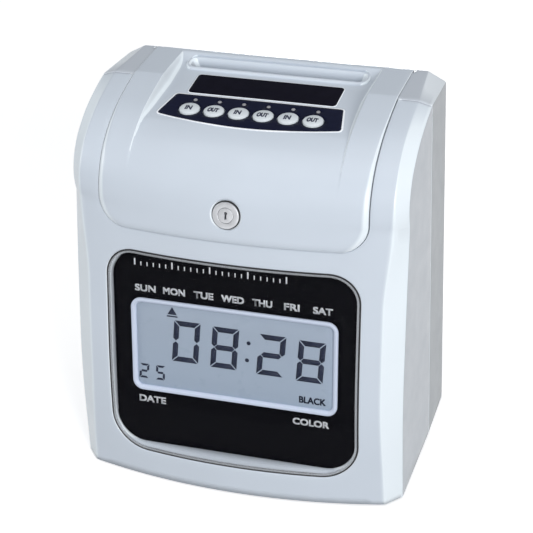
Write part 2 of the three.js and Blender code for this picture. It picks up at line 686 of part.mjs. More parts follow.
function roller(r, shaftR, x, y) {
  return rod('x', r, x - ROLLER_HALF, x + ROLLER_HALF, y, FEED_Z, 20)
    .subtract(rod('x', shaftR + GAP, x - 2 * ROLLER_HALF, x + 2 * ROLLER_HALF, y, FEED_Z, 12));
}

const feedGear = () => gear(GEAR_TEETH, FEED_SHAFT_R + GAP, GEAR_X - GEAR_HALF, GEAR_X + GEAR_HALF,
  FEED_Y, FEED_Z, Math.PI / GEAR_TEETH);
const motorPinion = () => gear(PINION_TEETH, MOTOR_SHAFT_R + GAP, GEAR_X - GEAR_HALF - 0.5,
  GEAR_X + GEAR_HALF + 0.5, FEED_Y, FEED_Z - centreDistance(), 0);

function feedMotor() {
  const z = FEED_Z - centreDistance();
  return rod('x', FEED_MOTOR_R, PLATE_X - 11.8, PLATE_X - 1, FEED_Y, z, 28)
    .add(rod('x', MOTOR_SHAFT_R, PLATE_X - 10, GEAR_X + GEAR_HALF + 1.5, FEED_Y, z, 12));
}

function screwMotor() {
  const [flangeY, flangeZ] = [7, SCREW_MOTOR_R + 4];
  return rod('x', SCREW_MOTOR_R, -PLATE_X - 18, -PLATE_X - 2.2, SCREW_Y, SCREW_Z, 24)
    .add(box(-PLATE_X - 2.9, -PLATE_X - PLATE_T, SCREW_Y - flangeY, SCREW_Y + flangeY,
      SCREW_Z - flangeZ, SCREW_Z + flangeZ))
    .subtract(rod('x', SCREW_R + 0.6, -PLATE_X - 10, -PLATE_X + 10, SCREW_Y, SCREW_Z, 12));
}

// The screw's thread is shown as a few turned grooves.
function leadScrew() {
  const [from, to, pitch, root, lastGroove] = [-66, 63, 12, 1.5, 54];
  const outline = [[0, from], [SCREW_R, from]];
  for (let x = -lastGroove; x <= lastGroove; x += pitch) {
    outline.push([SCREW_R, x - 1.6], [root, x - 1], [root, x + 1], [SCREW_R, x + 1.6]);
  }
  outline.push([SCREW_R, to], [0, to]);
  const profile = outline.map(([r, x]) => new THREE.Vector2(r, x));
  return solid(new THREE.LatheGeometry(profile, 10), place(0, SCREW_Y, SCREW_Z, 0, 0, -Math.PI / 2));
}

function printCarriage() {
  return box(-11, 11, 15.5, 35, 138.5, 155)
    .subtract(rod('x', GUIDE_SHAFT_R + GAP, -20, 20, GUIDE_Y, GUIDE_Z, 16))
    .subtract(rod('x', SCREW_R + GAP, -20, 20, SCREW_Y, SCREW_Z, 14));
}

function printHead() {
  return box(-8, 8, 24, 38, 155.4, 161.5).add(box(-4, 4, 37.9, 43.2, 153, 160.5))
    .add(box(-1.6, 1.6, 43, 43.7, 153.6, 159.8));
}

function ribbonCassette() {
  const top = CASSETTE_Z + CASSETTE_H;
  let body = prismZ(roundedShape(-64, 64, -4, 38.5, 6), CASSETTE_Z, top, 3);
  for (const side of [-1, 1]) {
    const x = side * 53;
    body = body.add(box(x - 3, x + 3, 37, 43.6, STRIKE_Z[0], top))
      .add(box(x - 3, x + 3, 43.5, 45.4, STRIKE_Z[0], STRIKE_Z[0] + 1.5));
  }
  return body;
}

const ribbon = () => box(-56, 56, 44, 44.6, STRIKE_Z[0] + 2, STRIKE_Z[1] + 1.5);

function ribbonKnob() {
  const [x, y] = KNOB_PLACE;
  const base = CASSETTE_Z + CASSETTE_H;
  return rod('z', 9, base + 0.4, base + 4, x, y, 20)
    .add(box(x - 8, x + 8, y - 1, y + 1, base + 3.5, base + 7));
}

function mainBoard() {
  let board = box(-72, 72, 0, BOARD_T, ...MAIN_BOARD_Z);
  // X range, Z range and height of each block of components
  const parts = [[-20, 4, 60, 80, 3], [12, 30, 64, 78, 3], [-60, -42, 20, 36, 9], [40, 58, 24, 44, 8],
    [-52, -38, 92, 108, 4], [48, 66, 96, 112, 6]];
  for (const [x0, x1, z0, z1, h] of parts) board = board.add(box(x0, x1, BOARD_T - 0.1, BOARD_T + h, z0, z1));
  return board;
}

function backupBattery() {
  const [x, low, y0, y1] = [-80, 13, 12, 46];
  return rod('y', BATTERY_R, y0, y1, x, low, 20).add(rod('y', BATTERY_R, y0, y1, x, low + 13, 20));
}

function powerInlet() {
  return box(INLET_X - 6, INLET_X + 6, 46, BACK_Y - 0.6, INLET_Z - 5, INLET_Z + 5)
    .subtract(rod('y', 3, 50, BACK_Y + 2, INLET_X, INLET_Z, 14))
    .add(rod('y', 0.9, 49, BACK_Y - 2, INLET_X, INLET_Z, 8));
}

function buzzer() {
  return rod('y', 6, -13, -0.4, 20, 104, 20).subtract(rod('y', 1.2, -20, -10, 20, 104, 10));
}

function cardSensor() {
  return box(-6, 6, CHUTE_Y[1] + SHEET + GAP, 58.5, 176, 184).subtract(box(-2, 2, 50, 56, 175, 185));
}

// ---- Assembly -----------------------------------------------------------------------------------
const clock = new THREE.Group();

const FINISH = {
  caseWhite: { color: 0xdfe5ee, roughness: 0.38, metalness: 0 },
  caseGrey: { color: 0xc3ccd8, roughness: 0.42, metalness: 0 },
  black: { color: 0x101114, roughness: 0.2, metalness: 0 },
  navy: { color: 0x14182a, roughness: 0.45, metalness: 0 },
  keyWhite: { color: 0xf0f2f5, roughness: 0.4, metalness: 0 },
  rubber: { color: 0x202020, roughness: 0.85, metalness: 0 },
  steel: { color: 0xb4b8bd, roughness: 0.35, metalness: 1 },
  chrome: { color: 0xd5d7da, roughness: 0.15, metalness: 1 },
  brass: { color: 0xb89b5e, roughness: 0.35, metalness: 1 },
  board: { color: 0x1d5b36, roughness: 0.5, metalness: 0 },
  paleBlue: { color: 0xa9c8e8, roughness: 0.5, metalness: 0 },
  lcd: { color: 0x9fa8b4, roughness: 0.25, metalness: 0 },
  clear: { color: 0xe8eef2, roughness: 0.05, metalness: 0, transparent: true, opacity: 0.3 },
  plasticBlack: { color: 0x1b1c1f, roughness: 0.55, metalness: 0 },
  nylon: { color: 0xe4e0d2, roughness: 0.5, metalness: 0 },
};

function add(name, body, finish, parent = clock) {
  const mesh = new THREE.Mesh(geometryOf(body), new THREE.MeshStandardMaterial(FINISH[finish]));
  mesh.name = name;
  parent.add(mesh);
}

function subGroup(matrix) {
  const group = new THREE.Group();
  group.applyMatrix4(matrix);
  clock.add(group);
  return group;
}

const shell = caseShell();
add('front_housing', frontHousing(shell), 'caseWhite');
add('rear_case', rearCase(shell), 'caseGrey');
add('base_plate', basePlate(), 'plasticBlack');
['front_left', 'front_right', 'rear_left', 'rear_right'].forEach((where, i) => {
  add(`foot_${where}`, foot(FEET[i]), 'rubber');
});
add('hinge_pin_left', hingePin(-1), 'steel');
add('hinge_pin_right', hingePin(1), 'steel');
add('lock_catch', lockCatch(), 'steel');
add('window_lens', windowLens(), 'clear');

const display = subGroup(place(0, PANEL_POINT[0], PANEL_POINT[1], -PANEL_TILT));
add('display_panel', displayPanel(), 'black', display);
add('lcd_bezel', lcdBezel(), 'paleBlue', display);
add('lcd_glass', lcdGlass(), 'lcd', display);
add('display_board', displayBoard(), 'board', display);

add('cover', cover(), 'caseWhite');
const slotFrame = subGroup(place(0, SLOT_Y, deckHeight(SLOT_Y), DECK_TILT));
add('card_slot_guide', cardSlotGuide(), 'caseWhite', slotFrame);
const deck = subGroup(DECK_FRAME);
add('slot_label', slotLabel(), 'black', deck);
add('keypad_overlay', keypadOverlay(), 'navy', deck);
add('key_light_bar', keyLightBar(), 'clear', deck);
add('keypad_board', keypadBoard(), 'board', deck);
for (const k of KEYS) {
  add(`key_${k + 1}`, keyCap().translate([keyX(k), 0, 0]), 'keyWhite', deck);
}

const lock = subGroup(lockMatrix());
add('lock_barrel', lockBarrel(), 'chrome', lock);
add('lock_nut', lockNut(), 'brass', lock);
add('lock_cylinder', lockCylinder(), 'chrome', lock);
add('lock_cam', lockCam(), 'steel', lock);

add('side_plate_left', sidePlate(-1), 'steel');
add('side_plate_right', sidePlate(1), 'steel');
add('card_chute_front', chuteFront(), 'steel');
add('card_chute_rear', chuteRear(), 'steel');
add('card_stop', box(-CARD_HALF_W, CARD_HALF_W, CHUTE_Y[0] + GAP, CHUTE_Y[1] - GAP, 27, 31), 'plasticBlack');
add('platen', box(-56, 56, CHUTE_Y[1] + SHEET + GAP, 57.4, ...STRIKE_Z), 'rubber');
add('feed_shaft', rod('x', FEED_SHAFT_R, -65, 69, FEED_Y, FEED_Z, 16), 'steel');
add('feed_roller_left', roller(FEED_ROLLER_R, FEED_SHAFT_R, -ROLLER_X, FEED_Y), 'rubber');
add('feed_roller_right', roller(FEED_ROLLER_R, FEED_SHAFT_R, ROLLER_X, FEED_Y), 'rubber');
add('feed_gear', feedGear(), 'nylon');
add('motor_pinion', motorPinion(), 'brass');
add('feed_motor', feedMotor(), 'steel');
add('pinch_shaft', rod('x', PINCH_SHAFT_R, -61.6, 61.6, PINCH_Y, FEED_Z, 10), 'steel');
add('pinch_roller_left', roller(PINCH_ROLLER_R, PINCH_SHAFT_R, -ROLLER_X, PINCH_Y), 'nylon');
add('pinch_roller_right', roller(PINCH_ROLLER_R, PINCH_SHAFT_R, ROLLER_X, PINCH_Y), 'nylon');
add('guide_shaft', rod('x', GUIDE_SHAFT_R, -61, 61, GUIDE_Y, GUIDE_Z, 14), 'steel');
add('lead_screw', leadScrew(), 'steel');
add('screw_motor', screwMotor(), 'steel');
add('print_carriage', printCarriage(), 'plasticBlack');
add('print_head', printHead(), 'steel');
add('ribbon_cassette', ribbonCassette(), 'plasticBlack');
add('ribbon', ribbon(), 'black');
add('ribbon_knob', ribbonKnob(), 'keyWhite');
add('main_board', mainBoard(), 'board');
add('backup_battery', backupBattery(), 'paleBlue');
add('power_inlet', powerInlet(), 'plasticBlack');
add('buzzer', buzzer(), 'plasticBlack');
add('card_sensor', cardSensor(), 'plasticBlack');

export default clock;
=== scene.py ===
import json
from math import cos, pi, radians, sin, tan

import bmesh
import bpy
import numpy as np
from mathutils import Matrix, Vector
from mathutils.geometry import delaunay_2d_cdt


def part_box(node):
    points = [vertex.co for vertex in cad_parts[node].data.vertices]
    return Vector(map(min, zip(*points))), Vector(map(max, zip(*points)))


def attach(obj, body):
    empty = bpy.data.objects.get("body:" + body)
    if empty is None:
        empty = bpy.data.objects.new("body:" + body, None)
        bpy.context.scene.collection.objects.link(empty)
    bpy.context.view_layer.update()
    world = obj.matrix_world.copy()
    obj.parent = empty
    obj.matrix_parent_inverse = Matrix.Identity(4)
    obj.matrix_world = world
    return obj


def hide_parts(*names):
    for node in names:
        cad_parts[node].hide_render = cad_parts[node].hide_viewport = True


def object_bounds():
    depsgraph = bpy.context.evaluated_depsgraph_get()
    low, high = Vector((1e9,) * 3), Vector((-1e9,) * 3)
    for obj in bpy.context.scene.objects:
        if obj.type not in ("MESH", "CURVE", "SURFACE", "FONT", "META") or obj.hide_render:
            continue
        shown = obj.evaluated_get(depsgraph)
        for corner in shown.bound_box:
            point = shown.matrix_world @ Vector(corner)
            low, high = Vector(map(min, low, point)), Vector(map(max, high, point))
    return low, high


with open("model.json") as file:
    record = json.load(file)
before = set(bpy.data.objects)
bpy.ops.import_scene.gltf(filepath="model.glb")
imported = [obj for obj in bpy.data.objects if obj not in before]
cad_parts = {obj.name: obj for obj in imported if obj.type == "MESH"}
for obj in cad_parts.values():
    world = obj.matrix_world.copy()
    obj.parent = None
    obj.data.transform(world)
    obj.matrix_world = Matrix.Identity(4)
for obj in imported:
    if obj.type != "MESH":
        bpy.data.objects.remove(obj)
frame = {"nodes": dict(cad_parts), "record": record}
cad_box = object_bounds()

# ---- Driving dimensions, the same as the frame's -----------------------------------------------------------
MM = 0.001
CAD_LOW, CAD_HIGH = (np.array(corner) / MM for corner in cad_box)
HALF_W = CAD_HIGH[0]
FRONT_Y, BACK_Y = CAD_LOW[1], CAD_HIGH[1]
HEIGHT = CAD_HIGH[2]
FOOT_Z = 1.5
WALL = 2.4
GAP = 0.35

LEAN = radians(8)
LEAN_START_Z, LEAN_FULL_Z = 30, 90
BROW_Z, BROW_R, BROW_END, CREASE_RISE = 168, 45, radians(28), radians(8.5)
CREASE_Y, ROOF_Z = 24.4, HEIGHT - 0.5
BOW_R = 350
SEAM_Y = 22
BACK_R = 2.0
EDGE_R = 0.9

COVER_HALF_W, COVER_BOTTOM_Z, COVER_CORNER_R = 75, 155, 16
REBATE, LEDGE = 1.4, 4.3
HINGE_Y, HINGE_Z = 59.2, 211.7
PROUD_TOP, PROUD_FRONT = 0.5, 1.8
DECK_TILT, DECK_Z, DECK_HALF_W = radians(4.7), 206.9, 58.5
DECK_REAR_Y, DECK_FADE_S, DECK_TIP_S = 57, 224, 187
KEY_PITCH, KEY_R, KEY_ROW_Y, LED_Y = 13.9, 5.6, -0.5, 10.2
KEYS = range(6)
SLOT_Y, SLOT_HALF, THROAT_HALF = 49.2, (53.5, 7.3), (46, 2.5)
LOCK_S, LOCK_R = 172, 7.5

WINDOW_HALF_W, WINDOW_Z, WINDOW_CORNER_R = 72, (18.6, 142.8), 20
PANEL_TILT, PANEL_ORIGIN = radians(6.72), (-50.6, 55.2)
PANEL_HALF_W, PANEL_V, PANEL_CORNER_R = 69.3, (-33, 85), 17
LCD_HALF_W, LCD_HEIGHT = 59.3, 56.4


# ---- Numbers and curves ------------------------------------------------------------------------------------
def lerp(a, b, t):
    return a + (b - a) * t


def smooth(a, b, v):
    t = np.clip((v - a) / (b - a), 0, 1)
    return t * t * (3 - 2 * t)


def softplus(t, width):
    return 0.5 * (t + np.sqrt(t * t + width * width))


def soft_min(a, b, width):
    return b - softplus(b - a, width)


def spread(a, b, step):
    """Evenly spaced numbers from a to b, about a step apart."""
    return np.linspace(a, b, max(2, int(round(abs(b - a) / step)) + 1))


class Profile:
    """A line in the Y-Z plane through knots of (distance, slope), round between knots of unlike slope."""

    STEP = 0.1

    def __init__(self, knots):
        distances, slopes = zip(*knots)
        self.s = np.arange(distances[0], distances[-1] + self.STEP, self.STEP)
        self.slope = np.interp(self.s, distances, slopes)
        middle = (self.slope[1:] + self.slope[:-1]) / 2
        self.y = FRONT_Y + np.concatenate([[0], np.cumsum(np.cos(middle))]) * self.STEP
        self.z = FOOT_Z + np.concatenate([[0], np.cumsum(np.sin(middle))]) * self.STEP

    def at(self, s):
        return [np.interp(s, self.s, v) for v in (self.y, self.z, self.slope)]

    def point(self, x, s, sink):
        """The point at x and s, sunk below the line along its inward normal."""
        y, z, slope = self.at(s)
        x, y, z = np.broadcast_arrays(x, y + np.sin(slope) * sink, z - np.cos(slope) * sink)
        return np.stack([x, y, z], axis=-1)


def front_knots():
    knots = [(FOOT_Z, pi / 2), (LEAN_START_Z, pi / 2)]
    lean_r = (LEAN_FULL_Z - LEAN_START_Z) / sin(LEAN)
    knots.append((knots[-1][0] + lean_r * LEAN, pi / 2 - LEAN))
    knots.append((knots[-1][0] + (BROW_Z - LEAN_FULL_Z) / cos(LEAN), pi / 2 - LEAN))
    knots.append((knots[-1][0] + BROW_R * (pi / 2 - LEAN - BROW_END), BROW_END))
    y, z, _ = Profile(knots).at(knots[-1][0])

    def to_crease(middle):
        """Length of a line through that slope halfway, and how far over the crease it ends."""
        slopes = np.interp(np.linspace(0, 1, 501), (0, 0.5, 1), (BROW_END, middle, CREASE_RISE))
        length = (CREASE_Y - y) / np.cos(slopes).mean()
        return length, z + length * np.sin(slopes).mean() - ROOF_Z

    middles = np.radians(np.arange(2, 26, 0.25))
    middle = float(np.interp(0, [to_crease(m)[1] for m in middles], middles))
    start, length = knots[-1][0], float(to_crease(middle)[0])
    return knots + [(start + length / 2, middle), (start + length, CREASE_RISE)]


CREASE_HALF = 0.5  # half the length over which the crease is rounded
KNOTS = front_knots()
BROW_S, CREASE_S = KNOTS[3][0], KNOTS[-1][0]


def full_profile(turn_y, radius, turn, tail):
    """The front's line with the roof, a round turn of that radius from turn_y on, and a straight tail."""
    knots = KNOTS[:-1] + [(CREASE_S - CREASE_HALF, CREASE_RISE), (CREASE_S + CREASE_HALF, 0.0)]
    start = CREASE_S + turn_y - CREASE_Y
    knots += [(start, 0.0), (start + radius * turn, -turn)]
    return Profile(knots + [(start + radius * turn + tail, -turn)])


CASE = full_profile(BACK_Y - BACK_R, BACK_R, pi / 2, ROOF_Z - BACK_R - FOOT_Z)
ROOF_END_S = CREASE_S + BACK_Y - BACK_R - CREASE_Y
BACK_S = ROOF_END_S + BACK_R * pi / 2
FOOT_BACK_S = BACK_S + ROOF_Z - BACK_R - FOOT_Z
ROLL_BASE_R = ROOF_Z - HINGE_Z
LID = full_profile(HINGE_Y, ROLL_BASE_R, pi, 0.1)
LID_ROOF_S = CREASE_S + HINGE_Y - CREASE_Y
LID_END_S = LID_ROOF_S + ROLL_BASE_R * pi
SEAM_S = float(np.interp(SEAM_Y, CASE.y[CASE.s < CREASE_S], CASE.s[CASE.s < CREASE_S]))


def s_at_height(z):
    front = CASE.s < CREASE_S
    return float(np.interp(z, CASE.z[front], CASE.s[front]))


# ---- Shape of the case across its width --------------------------------------------------------------------
def bow(x):
    return BOW_R - np.sqrt(BOW_R * BOW_R - x * x)


def bow_share(s):
    """How much of the bow is left at s: all of it up to the brow, none at the crease."""
    return (1 - np.clip((s - BROW_S) / (CREASE_S - BROW_S), 0, 1)) ** 1.6


def bevel_start(s):
    low = lerp(86.3, 84, smooth(0, 70, s))
    high = lerp(88, 86, smooth(BROW_S, CREASE_S, s))
    front = lerp(low, high, smooth(122, 172, s))
    return np.where(s < CREASE_S, front, np.interp(s, [CREASE_S, ROOF_END_S], [86, 83]))


def half_width(s):
    return np.interp(s, [CREASE_S, ROOF_END_S], [HALF_W, HALF_W - 1])


def bevel_depth(s):
    front = lerp(2.5, 9.5, bow_share(s))
    return np.where(s < CREASE_S, front, np.interp(s, [CREASE_S, ROOF_END_S], [2.5, 5.5]))


def edge_radius(s):
    return np.interp(s, [ROOF_END_S - 20, ROOF_END_S], [EDGE_R, 1.4])


def side_strip(s):
    """How far the swept skin runs down the side wall: less where the roof turns down the back."""
    return lerp(4, 0.4, smooth(ROOF_END_S - 12, ROOF_END_S, s))


def sink(x, s):
    """Depth of the skin below the side profile at x: the bow, then the side bevel."""
    start, wide = bevel_start(s), half_width(s)
    over = np.abs(x) - start
    inner = np.minimum(start - softplus(-over, 0.6), start)
    return bow(inner) * bow_share(s) + bevel_depth(s) * softplus(over, 0.6) / (wide - start)


def edge_turn(s):
    """For the rounded outer edge: the slope it starts at, where it starts, its depth there, and its reach."""
    start, wide, deep, r = bevel_start(s), half_width(s), bevel_depth(s), edge_radius(s)
    bevel = np.arctan2(deep, wide - start)
    turned = np.clip((s - ROOF_END_S) / (BACK_S - ROOF_END_S), 0, 1)
    beta = bevel * (1 - turned)
    back = r * (1 - np.sin(beta))
    corner = bow(start) * bow_share(s) + deep
    return beta, wide - back, corner - back * np.tan(bevel), back * np.tan(beta) + back / np.cos(beta)


def case_place(x, s, fall, inset):
    """A point at x and s, fallen below the side profile, straight down behind the crease, and inset."""
    behind = s > CREASE_S + 4
    point = CASE.point(x, s, np.where(behind, 0, fall) + inset)
    left = 1 - np.clip((s - BACK_S) / (FOOT_BACK_S - BACK_S), 0, 1)
    point[..., 2] -= np.where(behind, fall * left, 0)
    return point


def case_point(x_or_q, s, inset=0.0, on_edge=False):
    """A point of the case skin: by x on the face and bevel, or by q from 1 to 3 round the edge and down."""
    if not on_edge:
        return case_place(x_or_q, s, sink(x_or_q, s), inset)
    side, q = np.sign(x_or_q), np.abs(x_or_q)
    beta, _, fall, reach = edge_turn(s)
    wide, r = half_width(s), edge_radius(s)
    angle = lerp(beta, pi / 2, np.clip(q - 1, 0, 1))
    x = wide - r + (r - inset) * np.sin(angle)
    depth = reach - (r - inset) * np.cos(angle) + np.clip(q - 2, 0, 1) * side_strip(s)
    return case_place(side * x, s, fall, depth)


# ---- Meshes ------------------------------------------------------------------------------------------------
class Patchwork:
    """Collects patches of points and faces, and welds them into one mesh."""

    def __init__(self):
        self.points, self.faces, self.slots = [], [], []

    def add(self, points, faces, slot=0):
        first = sum(len(p) for p in self.points)
        self.points.append(np.asarray(points, float).reshape(-1, 3))
        self.faces += [tuple(first + k for k in face) for face in faces]
        self.slots += [slot] * len(faces)
        return self

    def grid(self, rows, slot=0, closed=False):
        """Quads between rows of equally many points; closed joins each row's end to its start."""
        rows = np.asarray(rows, float)
        m, n = rows.shape[:2]
        faces = [(i * n + j, i * n + (j + 1) % n, (i + 1) * n + (j + 1) % n, (i + 1) * n + j)
                 for i in range(m - 1) for j in range(n if closed else n - 1)]
        return self.add(rows.reshape(-1, 3), faces, slot)

    def cap(self, ring):
        return self.add(ring, [tuple(range(len(ring)))])

    def skin(self, place, loops, inner=()):
        """Triangles over the flat region inside the first loop and outside the others, set by place."""
        flat, faces = triangulated(loops, inner)
        return self.add(place(flat[:, 0], flat[:, 1]), faces)

    def mirrored(self):
        """Adds the same patches again, mirrored in X."""
        points = np.concatenate(self.points) * (-1, 1, 1)
        return self.add(points, [face[::-1] for face in self.faces])

    def moved(self, matrix):
        matrix = np.array(matrix)
        self.points = [p @ matrix[:3, :3].T + matrix[:3, 3] for p in self.points]
        return self

    def joined(self, other):
        first = sum(len(p) for p in self.points)
        self.points += other.points
        self.faces += [tuple(first + k for k in face) for face in other.faces]
        self.slots += other.slots
        return self

    def build(self, name, materials, sharp=35, weld=0.002):
        mesh = bpy.data.meshes.new(name)
        mesh.from_pydata(np.concatenate(self.points) * MM, [], self.faces)
        for material in materials:
            mesh.materials.append(material)
        mesh.polygons.foreach_set("material_index", self.slots)
        work = bmesh.new()
        work.from_mesh(mesh)
        bmesh.ops.remove_doubles(work, verts=work.verts, dist=weld * MM)
        bmesh.ops.dissolve_degenerate(work, edges=work.edges, dist=1e-7)
        bmesh.ops.recalc_face_normals(work, faces=work.faces)
        work.to_mesh(mesh)
        work.free()
        mesh.shade_smooth()
        mesh.set_sharp_from_angle(angle=radians(sharp))
        piece = bpy.data.objects.new(name, mesh)
        bpy.context.scene.collection.objects.link(piece)
        return piece


def triangulated(loops, inner):
    points, edges = [], []
    for loop in loops:
        first, n = len(points), len(loop)
        points += [tuple(p) for p in loop]
        edges += [(first + k, first + (k + 1) % n) for k in range(n)]
    points += [tuple(p) for p in inner]
    verts, _, faces, *_ = delaunay_2d_cdt([Vector(p) for p in points], edges, [], 0, 1e-6)
    flat = np.array([tuple(v) for v in verts])
    centres = np.array([flat[list(face)].mean(axis=0) for face in faces])
    kept = inside(centres, loops)
    return flat, [tuple(face) for face, keep in zip(faces, kept) if keep]


def inside(points, loops):
    """Whether each point lies inside an odd number of the loops."""
    odd = np.zeros(len(points), bool)
    for loop in loops:
        a = np.asarray(loop, float)
        b = np.roll(a, -1, axis=0)
        for (x0, y0), (x1, y1) in zip(a, b):
            if y0 == y1:
                continue
            crosses = (points[:, 1] > min(y0, y1)) & (points[:, 1] <= max(y0, y1))
            at = x0 + (points[:, 1] - y0) * (x1 - x0) / (y1 - y0)
            odd ^= crosses & (points[:, 0] < at)
    return odd


def clear_points(xs, ys, region, holes, margin):
    """Grid points inside the region and outside the holes, all at least a margin from every loop."""
    grid = np.stack(np.meshgrid(xs, ys), axis=-1).reshape(-1, 2)
    grid = grid[inside(grid, [region, *holes])]
    for loop in [region, *holes]:
        for p in loop:
            grid = grid[np.hypot(*(grid - p).T) > margin]
    return grid


def rounded_loop(half_x, low, high, r_low, r_high, across=40, up=30, arc=9):
    """A closed anticlockwise loop round a rectangle with rounded corners, of a fixed count of points."""
    corners = [(half_x - r_low, low + r_low, r_low, -90), (half_x - r_high, high - r_high, r_high, 0),
               (-half_x + r_high, high - r_high, r_high, 90), (-half_x + r_low, low + r_low, r_low, 180)]
    ends = [round_points(*corner, corner[3] + 90, arc) for corner in corners]
    loop = []
    for k, end in enumerate(ends):
        loop += end
        here, there = np.array(end[-1]), np.array(ends[(k + 1) % 4][0])
        count = across if k % 2 else up
        loop += [tuple(lerp(here, there, t / count)) for t in range(1, count)]
    return np.array(loop)


def circle_loop(cx, cy, r, count=32):
    angles = np.arange(count) * 2 * pi / count
    return np.stack([cx + r * np.cos(angles), cy + r * np.sin(angles)], axis=-1)


def level(loop, height):
    """A flat loop lifted to a height."""
    return np.column_stack([loop, np.full(len(loop), height)])


def lathe(outline, count=48):
    """A turned patchwork about Z from an outline of (radius, height); the ends are closed."""
    angles = np.arange(count) * 2 * pi / count
    work = Patchwork()
    rows = [np.stack([r * np.cos(angles), r * np.sin(angles), np.full(count, float(h))], axis=-1)
            for r, h in outline]
    work.grid(rows, closed=True)
    return work


def round_points(cx, cy, r, start, end, count=5):
    """Points of an arc, for outlines; angles in degrees."""
    return [(cx + r * cos(radians(a)), cy + r * sin(radians(a))) for a in np.linspace(start, end, count)]


def modify(piece, kind, **settings):
    modifier = piece.modifiers.new(kind.title(), kind)
    for key, value in settings.items():
        setattr(modifier, key, value)
    return piece


def thicken(piece, thickness):
    return modify(piece, "SOLIDIFY", thickness=thickness * MM, offset=-1,
                  use_quality_normals=True)


def settle(piece, body, slot, *nodes):
    """Puts a piece on its body and hides the frame nodes it stands for; its finish's name, slot, is not used.
    """
    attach(piece, body)
    if nodes:
        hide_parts(*nodes)
    return piece


# ---- Materials ---------------------------------------------------------------------------------------------
class Surface:
    """A node material: one Principled shader, with noises in the object's own metres behind it."""

    def __init__(self, name, colour, roughness, metallic=0.0, coat=0.0, specular=0.5, alpha=1.0):
        self.material = bpy.data.materials.new(name)
        self.material.use_nodes = True
        self.nodes = self.material.node_tree.nodes
        self.links = self.material.node_tree.links
        self.shader = self.nodes["Principled BSDF"]
        self.colour, self.roughness = colour, roughness
        self.coordinates = self.nodes.new("ShaderNodeTexCoord").outputs["Object"]
        self.bumps = []
        self.set("Base Color", (*colour, 1))
        self.set("Roughness", roughness)
        self.set("Metallic", metallic)
        self.set("Coat Weight", coat)
        self.set("Coat Roughness", 0.08)
        self.set("Specular IOR Level", specular)
        self.set("Alpha", alpha)

    def set(self, socket, value):
        self.shader.inputs[socket].default_value = value
        return self

    def noise(self, size, detail=2.0, stretch=(1, 1, 1)):
        """A noise whose lumps are about size millimetres, longer along a stretched axis."""
        mapping = self.nodes.new("ShaderNodeMapping")
        mapping.inputs["Scale"].default_value = [1 / (size * MM * k) for k in stretch]
        texture = self.nodes.new("ShaderNodeTexNoise")
        texture.inputs["Scale"].default_value = 1.0
        texture.inputs["Detail"].default_value = detail
        self.links.new(self.coordinates, mapping.inputs["Vector"])
        self.links.new(mapping.outputs["Vector"], texture.inputs["Vector"])
        return texture.outputs["Fac"]

    def ramp(self, value, low, high, blend_low=0.3, blend_high=0.7):
        """Turns a noise into a colour or grey between low and high."""
        ramp = self.nodes.new("ShaderNodeValToRGB")
        ramp.color_ramp.elements[0].position = blend_low
        ramp.color_ramp.elements[1].position = blend_high
        ramp.color_ramp.elements[0].color = low
        ramp.color_ramp.elements[1].color = high
        self.links.new(value, ramp.inputs["Fac"])
        return ramp.outputs["Color"]

    def mottled(self, size, amount, stretch=(1, 1, 1)):
        """Colour that wanders a little over the surface."""
        low = tuple(max(0, c * (1 - amount)) for c in self.colour)
        high = tuple(min(1, c * (1 + amount)) for c in self.colour)
        colour = self.ramp(self.noise(size, 3, stretch), (*low, 1), (*high, 1))
        self.links.new(colour, self.shader.inputs["Base Color"])
        return self

    def painted_side_light(self, bevel, side):
        """Paints light on top of the mottle by facing: a painted highlight on bevels, painted shade on walls
        facing left or right.
        """
        split = self.nodes.new("ShaderNodeSeparateXYZ")
        size = self.nodes.new("ShaderNodeMath")
        size.operation = "ABSOLUTE"
        ramp = self.nodes.new("ShaderNodeValToRGB")
        # The bevel stop is a painted highlight and the side stop painted shade, set by the normal's X in
        # object space.
        stops = ((0.25, (1, 1, 1)), (0.38, bevel), (0.82, bevel), (0.93, side))
        while len(ramp.color_ramp.elements) < len(stops):
            ramp.color_ramp.elements.new(1.0)
        for element, (position, colour) in zip(ramp.color_ramp.elements, stops):
            element.position, element.color = position, (*colour, 1)
        tint = self.nodes.new("ShaderNodeMixRGB")
        tint.blend_type = "MULTIPLY"
        tint.inputs["Fac"].default_value = 1.0
        normal = self.nodes.new("ShaderNodeTexCoord").outputs["Normal"]
        mottle = self.shader.inputs["Base Color"].links[0].from_socket
        self.links.new(normal, split.inputs[0])
        self.links.new(split.outputs["X"], size.inputs[0])
        self.links.new(size.outputs[0], ramp.inputs["Fac"])
        self.links.new(mottle, tint.inputs["Color1"])
        self.links.new(ramp.outputs["Color"], tint.inputs["Color2"])
        self.links.new(tint.outputs["Color"], self.shader.inputs["Base Color"])
        return self

    def worn(self, size, amount, stretch=(1, 1, 1)):
        """Roughness that wanders a little, as handling and moulding leave it."""
        low, high = max(0.02, self.roughness - amount), min(1, self.roughness + amount)
        grey = self.ramp(self.noise(size, 4, stretch), (low,) * 3 + (1,), (high,) * 3 + (1,))
        self.links.new(grey, self.shader.inputs["Roughness"])
        return self

    def bumped(self, size, height, detail=2.0, stretch=(1, 1, 1)):
        """Adds a bump of that height in millimetres on top of earlier ones."""
        bump = self.nodes.new("ShaderNodeBump")
        bump.inputs["Strength"].default_value = 1.0
        bump.inputs["Distance"].default_value = height * MM
        self.links.new(self.noise(size, detail, stretch), bump.inputs["Height"])
        if self.bumps:
            self.links.new(self.bumps[-1].outputs["Normal"], bump.inputs["Normal"])
        self.links.new(bump.outputs["Normal"], self.shader.inputs["Normal"])
        self.bumps.append(bump)
        return self


